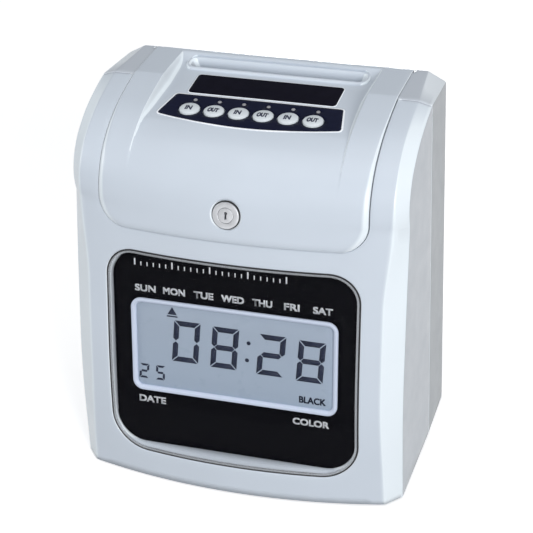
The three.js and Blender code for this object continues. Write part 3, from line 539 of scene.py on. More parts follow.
def moulded(name, colour, roughness=0.36, grain=0.004, coat=0.0, specular=0.5, side_light_paint=None):
    """Moulded plastic: fine spark grain, a faint flow mottle, slightly uneven gloss."""
    surface = Surface(name, colour, roughness, coat=coat, specular=specular)
    surface.mottled(38, 0.012)
    # Where given, the tints paint light: a painted highlight on the bevels and painted shade on the side
    # walls.
    if side_light_paint:
        surface.painted_side_light(*side_light_paint)
    return surface.worn(9, 0.05).bumped(0.45, grain).bumped(30, 0.05).material


def metal(name, colour, roughness, stretch=(1, 1, 1), height=0.003):
    surface = Surface(name, colour, roughness, metallic=1.0)
    surface.mottled(6, 0.06, stretch).worn(1.2, 0.09, stretch)
    return surface.bumped(0.35, height, 3, stretch).material


def rubbery(name):
    surface = Surface(name, (0.022, 0.022, 0.024), 0.78, specular=0.3)
    return surface.mottled(4, 0.2).worn(2, 0.08).bumped(0.5, 0.02).material


# Both case colours carry painted light by facing: a painted highlight on the bevels, painted shade on the
# side walls.
CASE_WHITE = moulded("case_white", (0.550, 0.605, 0.675), 0.33, 0.002, coat=0.08, specular=0.35,
                     side_light_paint=((1.37, 1.35, 1.28), (0.84, 0.82, 0.80)))
# The rear case's colour is the front's white painted darker, as painted shade on the same plastic.
CASE_SHADED = moulded("case_grey", (0.505, 0.545, 0.60), 0.42, 0.005, specular=0.3,
                    side_light_paint=((1.46, 1.44, 1.38), (0.86, 0.84, 0.80)))
KEY_WHITE = moulded("key_white", (0.62, 0.665, 0.70), 0.42, 0.003, specular=0.3)
BLACK_PLASTIC = moulded("plastic_black", (0.018, 0.019, 0.021), 0.5, 0.008)
NYLON = moulded("nylon", (0.78, 0.75, 0.66), 0.5, 0.004)
PALE_BLUE = moulded("pale_blue", (0.62, 0.69, 0.84), 0.42, 0.002)
SLEEVE = moulded("battery_sleeve", (0.12, 0.32, 0.58), 0.35, 0.002)
RUBBER = rubbery("rubber")
STEEL = metal("steel", (0.56, 0.57, 0.59), 0.32, (12, 1, 1))
STEEL_SHEET = metal("steel_sheet", (0.60, 0.62, 0.63), 0.38, (1, 1, 9))
LOCK_METAL = metal("lock_metal", (0.55, 0.56, 0.58), 0.52, height=0.002)
BRASS = metal("brass", (0.66, 0.50, 0.22), 0.3, (1, 1, 6))


def black_film():
    surface = Surface("black_gloss", (0.0022, 0.0021, 0.0035), 0.34, specular=0.03)
    return surface.worn(12, 0.04).bumped(25, 0.01).material


def label_film():
    surface = Surface("label_black", (0.0030, 0.0026, 0.0085), 0.42, specular=0.05)
    return surface.mottled(4, 0.15).worn(6, 0.05).bumped(0.4, 0.004).material


def navy_film():
    surface = Surface("navy_print", (0.0052, 0.0072, 0.0245), 0.42, specular=0.07)
    return surface.mottled(3, 0.12).worn(5, 0.06).bumped(0.35, 0.004).material


def clear_plastic():
    surface = Surface("clear", (0.02, 0.022, 0.026), 0.05, specular=0.12, alpha=0.04)
    return surface.bumped(40, 0.02).material


def clear_edge_sheen():
    # Painted reflection: the clear edge's bright refraction is painted on as a pale, half-clear grey.
    surface = Surface("clear_edge_sheen", (0.50, 0.53, 0.57), 0.10, specular=0.8, alpha=0.4)
    return surface.bumped(14, 0.01).material


def display_surface():
    """Blue-grey reflective display with a fine grain; its colour is painted a little paler towards its top,
    as painted light.
    """
    surface = Surface("lcd", (0.335, 0.375, 0.42), 0.30, specular=0.3)
    nodes, links = surface.nodes, surface.links
    split = nodes.new("ShaderNodeSeparateXYZ")
    links.new(surface.coordinates, split.inputs[0])
    place = nodes.new("ShaderNodeMapRange")
    place.inputs["From Min"].default_value = 58 * MM
    place.inputs["From Max"].default_value = 112 * MM
    links.new(split.outputs["Z"], place.inputs["Value"])
    # Painted light: the colour ramps a little paler up the display, as if lit from above.
    colour = surface.ramp(place.outputs["Result"], (0.350, 0.425, 0.530, 1), (0.375, 0.44, 0.535, 1), 0, 1)
    links.new(colour, surface.shader.inputs["Base Color"])
    return surface.worn(8, 0.04).bumped(0.3, 0.002).material


def solder_mask():
    surface = Surface("board", (0.03, 0.16, 0.07), 0.38, coat=0.3)
    return surface.mottled(3, 0.25).worn(4, 0.08).bumped(0.8, 0.03, 6).material


def print_ink(name, colour):
    return Surface(name, colour, 0.55, specular=0.25).mottled(1.5, 0.05).bumped(0.2, 0.003).material


BLACK_FILM = black_film()
NAVY_FILM = navy_film()
LABEL_FILM = label_film()
CLEAR = clear_plastic()
CLEAR_EDGE_SHEEN = clear_edge_sheen()
LCD = display_surface()
BOARD = solder_mask()
WHITE_INK = print_ink("white_ink", (0.88, 0.90, 0.94))
WHITE_EDGE = print_ink("white_edge", (0.88, 0.91, 0.95))
SEGMENT_INK = print_ink("segment_ink", (0.014, 0.020, 0.045))
KEY_INK = print_ink("key_ink", (0.03, 0.035, 0.07))
LED_TINT = Surface("led_tint", (0.25, 0.25, 0.27), 0.3).mottled(0.8, 0.15).bumped(0.3, 0.01).material


# ---- Front housing -----------------------------------------------------------------------------------------
FACE_X = 79  # the face inside this is filled round its openings; outside it the skin is drawn in rows
SEAM_FILLET = 0.5
OUTLINE_STEP = 2.5
EDGE_STEPS = [-1.6, -0.9, -0.45, -0.15, 0.15, 0.45, 0.9, 1.6]


def fillet_rows(r, count=4):
    """(distance before the edge, inset) pairs that round an edge over by a quarter turn."""
    return [(r * (1 - sin(a)), r * (1 - cos(a))) for a in np.linspace(0, pi / 2, count + 1)]


def front_rows():
    return np.unique(np.concatenate([spread(FOOT_Z, BROW_S, 3), spread(BROW_S, SEAM_S - SEAM_FILLET, 2)]))


def side_columns(x_in, s):
    """Places across the case from x_in outwards at one s: x up to the edge's round, then q from 1 to 3."""
    start = float(bevel_start(s))
    end = edge_turn(s)[1]
    xs = [*np.linspace(x_in, start - 2.4, 4), *(start + d for d in EDGE_STEPS)]
    xs += list(np.linspace(start + 2.3, float(end), 5))
    return xs, [1.0, 1.25, 1.5, 1.75, 2.0, 3.0]


def side_row(x_in, s, inset=0.0):
    xs, qs = side_columns(x_in, s)
    face = case_point(np.array(xs), s, inset)
    edge = case_point(np.array(qs[1:]), s, inset, on_edge=True)
    return np.concatenate([face, edge])


def side_wall(work, boundary, seam_top, seam_y, sign):
    """Fills the flat side inside the swept strip: boundary points by s, then the seam and the foot."""
    seam = [lerp(seam_top, np.array([seam_top[0], seam_y, FOOT_Z]), t) for t in np.linspace(0, 1, 40)[1:]]
    x_of = lambda y: np.interp(y, [CREASE_Y, BACK_Y], [HALF_W, HALF_W - 1])
    inner_seam = [p + (0, sign * SEAM_FILLET, 0) for p in [seam_top, *seam]]
    loop = [*boundary, *inner_seam]
    flat = np.array([(p[1], p[2]) for p in loop])
    middle = clear_points(spread(-60, 60, 12), spread(8, 205, 12), flat, [], 4)
    work.skin(lambda y, z: np.stack([x_of(y), y, z], axis=-1), [flat], middle)
    work.grid([[p + (-inset, sign * before, 0) for p in [seam_top, *seam]]
               for before, inset in fillet_rows(SEAM_FILLET)])


def u_outline(grow, s_top):
    """The cover's outline from its top right down round the front to its top left, grown outwards."""
    low = s_at_height(COVER_BOTTOM_Z)
    half, r = COVER_HALF_W + GAP, COVER_CORNER_R
    right = [(half + grow, s) for s in spread(s_top, low + r, OUTLINE_STEP)[:-1]]
    right += [(half - r + (r + grow) * cos(a), low + r + (r + grow) * sin(a))
              for a in np.radians(np.linspace(0, -90, 13))]
    middle = [(x, low - grow) for x in spread(half - r, r - half, OUTLINE_STEP)[1:-1]]
    return np.array([*right, *middle, *((-x, s) for x, s in right[::-1])])


def window_outline(grow):
    low, high = s_at_height(WINDOW_Z[0]), s_at_height(WINDOW_Z[1])
    return rounded_loop(WINDOW_HALF_W + grow, low - grow, high + grow, WINDOW_CORNER_R + grow + 1,
                        WINDOW_CORNER_R + grow - 3, arc=13)


def panel_point(x, v, out=0.0):
    """A point on the leaning display panel: v up from the display's lower edge, out to the front."""
    y, z = PANEL_ORIGIN
    return np.stack(np.broadcast_arrays(x, y - out * cos(PANEL_TILT) + v * sin(PANEL_TILT),
                                        z + out * sin(PANEL_TILT) + v * cos(PANEL_TILT)), axis=-1)


def front_housing():
    work = Patchwork()
    rows = front_rows()
    seam_rows = [(SEAM_S - before, inset) for before, inset in fillet_rows(SEAM_FILLET)]
    grid = [side_row(FACE_X, s) for s in rows] + [side_row(FACE_X, s, inset) for s, inset in seam_rows[1:]]
    work.grid(grid)
    side_wall(work, [row[-1] for row in grid[:len(rows)]], grid[-1][-1] + (SEAM_FILLET, 0, 0), SEAM_Y, -1)
    work.mirrored()

    lip = fillet_rows(0.45)
    wide = lip[0][0]
    notch = u_outline(wide, rows[-1])
    window_lip = fillet_rows(0.9, 5)
    hole = window_outline(window_lip[0][0])
    sides = np.array([(FACE_X, s) for s in rows])
    region = np.array([*((x, FOOT_Z) for x in spread(-FACE_X, FACE_X, 6)[:-1]), *sides, *notch,
                       *((-x, s) for x, s in sides[::-1][:-1])])
    middle = clear_points(spread(-FACE_X + 3, FACE_X - 3, 4), spread(6, SEAM_S - 3, 4), region, [hole], 2.2)
    work.skin(case_point, [region, hole], middle)

    bands = []
    for before, inset in lip:
        outline = u_outline(before, rows[-1])
        bands.append(case_point(outline[:, 0], outline[:, 1], inset))
    outline = u_outline(0, rows[-1])
    bands.append(case_point(outline[:, 0], outline[:, 1], REBATE))
    ledge = u_outline(-LEDGE, rows[-1])
    bands.append(case_point(ledge[:, 0], ledge[:, 1], REBATE))
    work.grid(bands)
    for k in (0, -1):
        ends = [band[k] for band in bands]
        work.grid([[end, end + (0, SEAM_FILLET, -0.05)] for end in ends])
        work.grid([[case_point(np.sign(ends[0][0]) * x, s, inset)
                    for x in (COVER_HALF_W + GAP + wide, FACE_X)] for s, inset in seam_rows])

    well = []
    for before, inset in window_lip:
        outline = window_outline(before)
        well.append(case_point(outline[:, 0], outline[:, 1], inset))
    back = panel_outline(0.3)
    floor = panel_point(back[:, 0], back[:, 1], -0.4)
    well += [lerp(well[-1], floor, t) for t in (0.1, 0.5, 1.0)]
    work.grid(well, closed=True)
    piece = work.build("front_shell", [CASE_WHITE], weld=0.02)
    thicken(piece, WALL)
    return settle(piece, "housing", "case_white", "front_housing")


def panel_outline(grow):
    return rounded_loop(PANEL_HALF_W + grow, PANEL_V[0] - grow, PANEL_V[1] + grow, PANEL_CORNER_R + grow,
                        PANEL_CORNER_R + grow, arc=13)


front_housing()


# ---- Rear case ---------------------------------------------------------------------------------------------
BACK_TOP_Z = 207.6  # the back wall ends here under the cover's hinge roll
BACK_COLUMN = 11  # the column of a side row that the filled back wall reaches to
KEYHOLE_X, KEYHOLE_Z = 55, 160
INLET_GAP = 0.8


def keyhole_loop(x, z):
    """A screw's keyhole: a round entry with a narrower slot above it."""
    return np.array(round_points(x, z, 4.5, 120, 420, 18) + round_points(x, z + 9, 2.2, 20, 160, 7))


def inlet_loop():
    low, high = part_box("power_inlet")
    half, centre_x = (high.x - low.x) / 2 / MM + INLET_GAP, (low.x + high.x) / 2 / MM
    low_z, high_z = low.z / MM - INLET_GAP, high.z / MM + INLET_GAP
    return rounded_loop(half, low_z, high_z, 1.5, 1.5, across=4, up=4, arc=5) + (centre_x, 0)


def s_at_back(z):
    return FOOT_BACK_S - (z - FOOT_Z)


def rear_case():
    work = Patchwork()
    x_in = COVER_HALF_W + GAP + 0.45
    seam_s = SEAM_S + GAP
    starts = [(seam_s + before, inset) for before, inset in fillet_rows(SEAM_FILLET)[::-1]]
    roof = np.concatenate([[seam_s + 1.2], CREASE_S + np.array([-0.8, -0.4, 0, 0.4, 0.8]),
                           spread(CREASE_S + 3, ROOF_END_S, 3)])
    turn = np.concatenate([np.linspace(ROOF_END_S, BACK_S, 8)[1:], [BACK_S + 1.2]])
    top_s = s_at_back(BACK_TOP_Z)
    back = spread(top_s, FOOT_BACK_S, 8)
    upper = np.unique(np.concatenate([roof, turn[turn < top_s - 0.5], [top_s]]))
    grid = [side_row(x_in, s, inset) for s, inset in starts] + [side_row(x_in, s) for s in upper]
    work.grid(grid)
    lower = [side_row(x_in, s)[BACK_COLUMN:] for s in back]
    work.grid(lower)

    ledge_rows = [seam_s, *upper[upper < ROOF_END_S - 3]]
    bands = []
    for s in ledge_rows:
        lip = [case_point(COVER_HALF_W + GAP + before, s, inset * 0.1) for before, inset in fillet_rows(0.45)]
        ledge = ((0.1, 0.07), (0.05, REBATE), (GAP - LEDGE, REBATE))
        bands.append([*lip, *(case_point(COVER_HALF_W + past, s, inset) for past, inset in ledge)])
    work.grid(bands)
    edge = [row[-1] for row in grid[len(starts):]] + [row[-1] for row in lower[1:]]
    rear_side_wall(work, edge, grid[0][-1] + (SEAM_FILLET, 0, 0))
    work.mirrored()

    columns = np.array(side_columns(x_in, top_s)[0][:BACK_COLUMN + 1])
    top = np.concatenate([-columns[:0:-1], spread(-x_in, x_in, 6), columns[1:]])
    edge_x = columns[-1]
    region = np.array([*((x, top_s) for x in top), *((edge_x, s) for s in back[1:-1]),
                       *((x, FOOT_BACK_S) for x in spread(edge_x, -edge_x, 6)),
                       *((-edge_x, s) for s in back[1:-1][::-1])])
    to_s = lambda loop: np.stack([loop[:, 0], s_at_back(loop[:, 1])], axis=-1)
    holes = [to_s(keyhole_loop(side * KEYHOLE_X, KEYHOLE_Z)) for side in (-1, 1)] + [to_s(inlet_loop())]
    middle = clear_points(spread(-80, 80, 8), spread(top_s + 5, FOOT_BACK_S - 5, 8), region, holes, 3.5)
    work.skin(case_point, [region, *holes], middle)
    for hole in holes:
        work.grid([[case_point(x, s) + (0, -deep, 0) for x, s in hole] for deep in (0, 1.0)], closed=True)
    piece = work.build("rear_shell", [CASE_SHADED], weld=0.02)
    thicken(piece, WALL)
    return settle(piece, "housing", "case_grey", "rear_case")


def rear_side_wall(work, edge, seam_top):
    x_of = lambda y: np.interp(y, [CREASE_Y, BACK_Y - BACK_R], [HALF_W, HALF_W - 1])
    seam = [lerp(seam_top, np.array([seam_top[0], SEAM_Y + GAP, FOOT_Z]), t) for t in np.linspace(0, 1, 40)]
    inner_seam = [p + (0, SEAM_FILLET, 0) for p in seam]
    loop = np.array([(p[1], p[2]) for p in [*edge, *inner_seam[::-1]]])
    middle = clear_points(spread(28, 55, 9), spread(8, 205, 10), loop, [], 4)
    work.skin(lambda y, z: np.stack([x_of(y), y, z], axis=-1), [loop], middle)
    work.grid([[p + (-inset, before, 0) for p in seam] for before, inset in fillet_rows(SEAM_FILLET)])


rear_case()


# ---- Cover -------------------------------------------------------------------------------------------------
COVER_LOW_S = s_at_height(COVER_BOTTOM_Z)
COVER_THICK = 2.0
COVER_SINK_X = 84  # beyond this the cover keeps the case's depth, instead of following its bevel
HOLE_DEEP, SLOT_HOLE_DEEP = 2.6, 2.0
# The wall of the lock's hole, as (radius past LOCK_R, depth).
LOCK_WELL = ((1.7, 0), (1.3, 0.06), (0.7, 0.4), (0.32, 0.9), (0.3, 1.4), (0.1, 1.45), (0.1, 2.4))


def proud(s):
    return lerp(PROUD_FRONT, PROUD_TOP, smooth(190, CREASE_S, s))


def deck_height(y):
    return DECK_Z + y * tan(DECK_TILT)


DECK_FADE = 1.5
DECK_WALL_SLOPE, DECK_REAR_SLOPE = 1.9, 0.5


def deck_depth(s):
    """How far the deck lies below the cover's skin on its centre line, along the skin's normal."""
    s = np.asarray(s, float)

    def to_plane(at):
        y, z, slope = LID.at(at)
        y, z = y - np.sin(slope) * proud(at), z + np.cos(slope) * proud(at)
        return (z - deck_height(y)) / (np.cos(slope) + tan(DECK_TILT) * np.sin(slope))

    fade = np.clip((s - DECK_TIP_S) / (DECK_FADE_S - DECK_TIP_S), 0, 1)
    return np.where(s > DECK_FADE_S, to_plane(s), to_plane(DECK_FADE_S) * fade ** DECK_FADE)


def deck_y(s):
    """Where the deck's floor below s lies in Y, on the centre line."""
    y, _, slope = LID.at(s)
    return y + np.sin(slope) * (deck_depth(s) - proud(s))


DECK_TABLE_S = np.arange(DECK_TIP_S, LID_ROOF_S, 0.1)
DECK_TABLE_Y = deck_y(DECK_TABLE_S)


def s_on_deck(y):
    return np.interp(y, DECK_TABLE_Y, DECK_TABLE_S)


def case_sink(x, s):
    """The case's own depth below the profile where the cover lies over it; none behind the crease."""
    return sink(np.clip(x, -COVER_SINK_X, COVER_SINK_X), s) * (s < CREASE_S + 4)


def cover_depth(x, s):
    """Depth of the cover's outer skin below the centre line's profile: negative where it stands proud."""
    s = np.asarray(s, float)
    y = deck_y(s)
    floor = deck_depth(s)
    wall = soft_min(DECK_WALL_SLOPE * (DECK_HALF_W - np.abs(x)), DECK_REAR_SLOPE * (DECK_REAR_Y - y), 0.8)
    deck = soft_min(wall, floor, np.minimum(1.6, 0.15 + floor * 0.35))
    deck = softplus(deck, 0.14)
    deck = deck * smooth(DECK_TIP_S - 3, DECK_TIP_S + 5, s)
    return case_sink(x, s) - proud(s) + deck


def cover_point(x, s, inset=0.0):
    return LID.point(x, s, cover_depth(x, s) + inset)


def rim_width(s):
    return lerp(4.6, 0.9, smooth(178, 252, s))


def rim_depth(s):
    return lerp(1.65, 0.4, smooth(188, CREASE_S, s))


def cover_outline():
    """The cover's outline with its inward directions: right side down, round the front, left side up."""
    half, r, low, step = COVER_HALF_W, COVER_CORNER_R, COVER_LOW_S, 2.2
    sides = np.concatenate([np.linspace(LID_END_S, LID_ROOF_S, 12)[:-1],
                            spread(LID_ROOF_S, CREASE_S + 3, step),
                            CREASE_S + np.array([1.6, 0.8, 0.4, 0, -0.4, -0.8, -1.6]),
                            spread(CREASE_S - 3, low + r, step)[:-1]])
    path = [((half, s), (-1, 0)) for s in sides]
    path += [((half - r + r * cos(a), low + r + r * sin(a)), (-cos(a), -sin(a)))
             for a in np.radians(np.linspace(0, -90, 15))]
    path += [((x, low), (0, 1)) for x in spread(half - r, 0, step)[1:]]
    path += [((-x, s), (-nx, ns)) for (x, s), (nx, ns) in path[-2::-1]]
    points, inward = (np.array(v, float) for v in zip(*path))
    return points, inward


def deck_loop(loop):
    """A loop given as (x, along the deck from the key row), as (x, s)."""
    y = KEY_ROW_Y + loop[:, 1] * cos(DECK_TILT)
    return np.stack([loop[:, 0], s_on_deck(y)], axis=-1)


def key_x(k):
    return (k - 2.5) * KEY_PITCH


def slot_loop(inset):
    """The card slot's outline on the deck, drawn in by inset; its corners stay round."""
    half_x, half_y = SLOT_HALF[0] - inset, SLOT_HALF[1] - inset
    centre = (SLOT_Y - KEY_ROW_Y) / cos(DECK_TILT)
    r = max(0.9, half_y - 1.4)
    return rounded_loop(half_x, -half_y, half_y, r, r, across=30, up=3, arc=9) + (0, centre)


def cover_holes():
    """Loops of the cover's holes for keys, lights and card slot, each with how deep its wall goes."""
    holes = [(deck_loop(circle_loop(key_x(k), 0, KEY_R + 0.4)), HOLE_DEEP) for k in KEYS]
    holes += [(deck_loop(circle_loop(key_x(k), LED_Y, 1.3, 16)), HOLE_DEEP) for k in KEYS]
    return [*holes, (deck_loop(slot_loop(1.2)), SLOT_HOLE_DEEP)]


def cover():
    work = Patchwork()
    outline, inward = cover_outline()
    width, depth = rim_width(outline[:, 1])[:, None], rim_depth(outline[:, 1])
    bands = []
    for t in (1.0, 0.8, 0.6, 0.42, 0.27, 0.15, 0.06, 0.015, 0.0):
        at = outline + inward * width * t
        bands.append(cover_point(at[:, 0], at[:, 1], depth * (1 - np.sqrt(1 - (1 - t) ** 2))))
    base = case_sink(outline[:, 0], outline[:, 1])
    reach = np.where(outline[:, 1] > LID_ROOF_S, 0.4, 1.1)
    bands.append(LID.point(outline[:, 0], outline[:, 1], base + reach))
    work.grid(bands)

    region = outline + inward * width
    lock = circle_loop(0, LOCK_S, LOCK_R + LOCK_WELL[0][0], 48)
    holes = cover_holes()
    loops = [loop for loop, _ in holes] + [lock]
    across = np.unique(np.concatenate([spread(-70, 70, 2.5), -spread(50, 60, 0.5), spread(50, 60, 0.5)]))
    along = np.unique(np.concatenate([spread(COVER_LOW_S + 6, 190, 2.5), spread(190, 232, 1.25),
                                      spread(232, CREASE_S - 3, 2.0), CREASE_S + np.linspace(-1.6, 1.6, 9),
                                      spread(CREASE_S + 3, CREASE_S + 27, 2.0),
                                      spread(CREASE_S + 27, LID_ROOF_S, 0.6),
                                      np.linspace(LID_ROOF_S, LID_END_S, 12)]))
    middle = clear_points(across, along, region, loops, 0.75)
    work.skin(cover_point, [region, *loops], middle)
    for loop, deep in holes:
        work.grid([cover_point(loop[:, 0], loop[:, 1], d) for d in (0, deep)], closed=True)
    rings = []
    for past, inset in LOCK_WELL:
        ring = circle_loop(0, LOCK_S, LOCK_R + past, 48)
        rings.append(cover_point(ring[:, 0], ring[:, 1], inset))
    work.grid(rings, closed=True)
    piece = work.build("cover_shell", [CASE_WHITE])
    thicken(piece, COVER_THICK)
    return settle(piece, "cover", "case_white", "cover")


cover()


# ---- Lettering ---------------------------------------------------------------------------------------------
def letters(text):
    """The filled outlines of a text in Blender's own font: points in the plane, and faces."""
    curve = bpy.data.curves.new("text", "FONT")
    curve.body, curve.resolution_u = text, 5
    source = bpy.data.objects.new("text", curve)
    bpy.context.scene.collection.objects.link(source)
    mesh = bpy.data.meshes.new_from_object(source.evaluated_get(bpy.context.evaluated_depsgraph_get()))
    points = np.array([tuple(v.co) for v in mesh.vertices])[:, :2]
    faces = [tuple(p.vertices) for p in mesh.polygons]
    bpy.data.objects.remove(source)
    return points, faces


def word(work, place, text, low, high, bold):
    """Adds a text stretched to fill the rectangle from low to high, set in space by place.

    Overlapping copies, moved by bold in the plane's millimetres, make its strokes heavier.
    """
    points, faces = letters(text)
    low, high = np.array(low) + bold, np.array(high) - bold
    first, last = points.min(axis=0), points.max(axis=0)
    points = low + (points - first) / (last - first) * (high - low)
    for across, up in ((-bold, -bold), (bold, -bold), (bold, bold), (-bold, bold)):
        work.add(place(points[:, 0] + across, points[:, 1] + up), faces)


# ---- Deck fittings -----------------------------------------------------------------------------------------
LABEL_X, LABEL_ALONG, LABEL_R = 42.1, (17.9, 38.2), 2.2
LABEL_EDGE, OVERLAY_EDGE = 0.5, 1.05


def over_deck(x, along, out):
    """A point that far out of the deck's floor; along is measured from the key row."""
    at = deck_loop(np.stack(np.broadcast_arrays(x, along), axis=-1))
    return cover_point(at[..., 0], at[..., 1], -out)


def deck_matrix(x, y):
    """A frame on the deck's plane: Z out of it, its origin at x and y."""
    turn = Matrix.Rotation(DECK_TILT, 4, "X")
    return Matrix.Translation((x, y, float(deck_height(y)))) @ turn


def grown(loop, by):
    """A loop moved outwards by an amount, for an anticlockwise loop."""
    step = np.roll(loop, -1, axis=0) - np.roll(loop, 1, axis=0)
    normal = np.stack([step[:, 1], -step[:, 0]], axis=-1) / np.hypot(*step.T)[:, None]
    return loop + normal * by


def deck_film(name, loop, holes, out, thick, material, slot, *nodes):
    """A thin printed film on the deck with a softened edge."""
    work = Patchwork()
    rings = [loop, grown(loop, -0.12)]
    work.grid([over_deck(rings[0][:, 0], rings[0][:, 1], out - 0.08),
               over_deck(rings[1][:, 0], rings[1][:, 1], out)], closed=True)
    low, high = loop.min(axis=0), loop.max(axis=0)
    middle = clear_points(spread(low[0], high[0], 2.5), spread(low[1], high[1], 2.0), rings[1], holes, 0.8)
    work.skin(lambda x, along: over_deck(x, along, out), [rings[1], *holes], middle)
    piece = thicken(work.build(name, [material]), thick)
    return settle(piece, "cover", slot, *nodes)


def quadratic(a, b, c, count):
    t = np.linspace(0, 1, count)[:, None]
    a, b, c = map(np.array, (a, b, c))
    return list((1 - t) ** 2 * a + 2 * t * (1 - t) * b + t * t * c)


def overlay_loop():
    """The keypad film's outline: a bowed front edge, sides that draw in towards the back, round corners."""
    right = [*quadratic((50.5, -6), (51.5, -5), (51.2, -3.5), 5)[1:],
             *(np.array((x, y)) for x, y in zip(np.linspace(51.0, 47.6, 8), np.linspace(-2.7, 14, 8))),
             *quadratic((47.6, 14), (47.3, 15.5), (45.8, 15.5), 5)[1:]]
    left = [p * (-1, 1) for p in right[::-1]]
    top = [np.array((x, 15.5)) for x in np.linspace(45.8, -45.8, 30)[1:-1]]
    front = quadratic((-50.5, -6), (0, -20.5), (50.5, -6), 41)
    return np.array([*front, *right, *top, *left])


def deck_films():
    keys = [circle_loop(key_x(k), 0, KEY_R + 0.45) for k in KEYS]
    lights = [circle_loop(key_x(k), LED_Y, 1.2, 16) for k in KEYS]
    holes = keys + lights
    navy = overlay_loop()
    deck_film("keypad_white_line", grown(navy, OVERLAY_EDGE), holes, 0.22, 0.2, WHITE_EDGE, "navy_print")
    deck_film("keypad_film", navy, holes, 0.34, 0.12, NAVY_FILM, "navy_print", "keypad_overlay")
    middle = sum(LABEL_ALONG) / 2
    half = (LABEL_ALONG[1] - LABEL_ALONG[0]) / 2
    label = rounded_loop(LABEL_X, middle - half, middle + half, LABEL_R, LABEL_R, across=30, up=8, arc=7)
    deck_film("label_edge", grown(label, LABEL_EDGE), [], 0.2, 0.2, WHITE_EDGE, "black_gloss")
    deck_film("label_film", label, [], 0.36, 0.14, LABEL_FILM, "black_gloss", "slot_label")


# The card slot's lip and funnel, as (inset from the outline, height over the deck), from the outer foot.
GUIDE_SECTION = [(0.0, -0.2), (0.02, 0.25), (0.12, 0.65), (0.3, 1.0), (0.6, 1.3), (1.0, 1.52), (1.4, 1.6),
                 (1.85, 1.56), (2.3, 1.3), (2.65, 0.9), (2.95, 0.3), (3.2, -0.5), (3.8, -4.0), (4.4, -7.5),
                 (4.8, -9.0), (4.8, -12.0), (3.6, -12.0), (3.3, -9.0), (1.6, -3.0), (1.6, -0.3), (0.8, -0.35)]
GUIDE_THROAT = 4.8


def slot_guide():
    work = Patchwork()
    rings = []
    for inset, height in GUIDE_SECTION:
        deep = smooth(0.5, -9.0, height) if height < 0.5 and inset > 1.6 else 0.0
        x_inset = inset + deep * (SLOT_HALF[0] - THROAT_HALF[0] - GUIDE_THROAT)
        half_x, half_y = SLOT_HALF[0] - x_inset, SLOT_HALF[1] - inset
        r = max(1.2, half_y - 1.1)
        loop = rounded_loop(half_x, -half_y, half_y, r, r, across=30, up=3, arc=11)
        rings.append(level(loop, height))
    work.grid([*rings, rings[0]], closed=True)
    work.moved(deck_matrix(0, SLOT_Y))
    piece = work.build("slot_guide", [CASE_WHITE], sharp=60)
    return settle(piece, "cover", "case_white", "card_slot_guide")


# ---- Keys and key lights -----------------------------------------------------------------------------------
KEY_DOME = [(5.6, 0.55), (5.5, 0.95), (5.2, 1.25), (4.7, 1.45), (3.9, 1.65), (2.9, 1.84), (1.8, 1.98),
            (0.9, 2.06), (0.0, 2.08)]
KEY_SECTION = [(0.0, -4.6), (1.7, -4.6), (1.8, -4.5), (1.8, -3.6), (6.4, -3.6), (6.5, -3.5), (6.5, -2.8),
               (6.4, -2.7), (5.6, -2.7), (5.6, -0.5), *KEY_DOME]


def key_cap(k):
    cap = lathe(KEY_SECTION, 56)
    radii, heights = zip(*KEY_DOME[::-1])
    text, half = ("OUT", 3.1) if k % 2 else ("IN", 1.9)

    def on_dome(x, y):
        return np.stack([x, y, np.interp(np.hypot(x, y), radii, heights) + 0.16], axis=-1)

    cap.moved(deck_matrix(key_x(k), KEY_ROW_Y))
    piece = cap.build(f"key_cap_{k + 1}", [KEY_WHITE], sharp=50)
    settle(piece, f"key_{k + 1}", "key_white", f"key_{k + 1}")
    print_work = Patchwork()
    word(print_work, on_dome, text, (-half, -2.9), (half, 0.9), bold=0.15)
    print_work.moved(deck_matrix(key_x(k), KEY_ROW_Y))
    mark = thicken(print_work.build(f"key_mark_{k + 1}", [KEY_INK]), 0.12)
    settle(mark, f"key_{k + 1}", "key_white")


def key_lights():
    """Six dot lenses standing in their holes, on one moulded bar."""
    work = Patchwork()
    for k in KEYS:
        dome = lathe([(0, -3.0), (1.12, -3.0), (1.12, 0.4), (1.0, 0.66), (0.7, 0.85), (0.35, 0.93),
                      (0, 0.95)], 24)
        work.joined(dome.moved(Matrix.Translation((key_x(k), LED_Y, 0))))
    bar = rounded_loop(38, LED_Y - 1.4, LED_Y + 1.4, 0.6, 0.6, across=2, up=2, arc=5)
    sections = [(-4.6, 0.15), (-4.45, 0.0), (-2.85, 0.0), (-2.7, 0.15)]
    rings = [level(grown(bar, -inset), height) for height, inset in sections]
    box_work = Patchwork().grid(rings, closed=True)
    box_work.cap(rings[0][::-1]).cap(rings[-1])
    work.joined(box_work)
    work.moved(deck_matrix(0, KEY_ROW_Y))
    piece = work.build("key_lights", [LED_TINT])
    return settle(piece, "cover", "clear", "key_light_bar")


deck_films()
slot_guide()
for key in KEYS:
    key_cap(key)
key_lights()


# ---- Lock --------------------------------------------------------------------------------------------------
LOCK_REACH = 13.5


def lock_matrix():
    """The lock's frame: Z out along its axis, Y up the cover's face, origin on the face."""
    y, z, slope = (float(v) for v in LID.at(LOCK_S))
    out = Vector((0, -sin(slope), cos(slope)))
    up = Vector((0, cos(slope), sin(slope)))
    turn = Matrix((Vector((1, 0, 0)), up, out)).transposed().to_4x4()
    return Matrix.Translation(Vector((0, y, z)) + out * PROUD_FRONT) @ turn


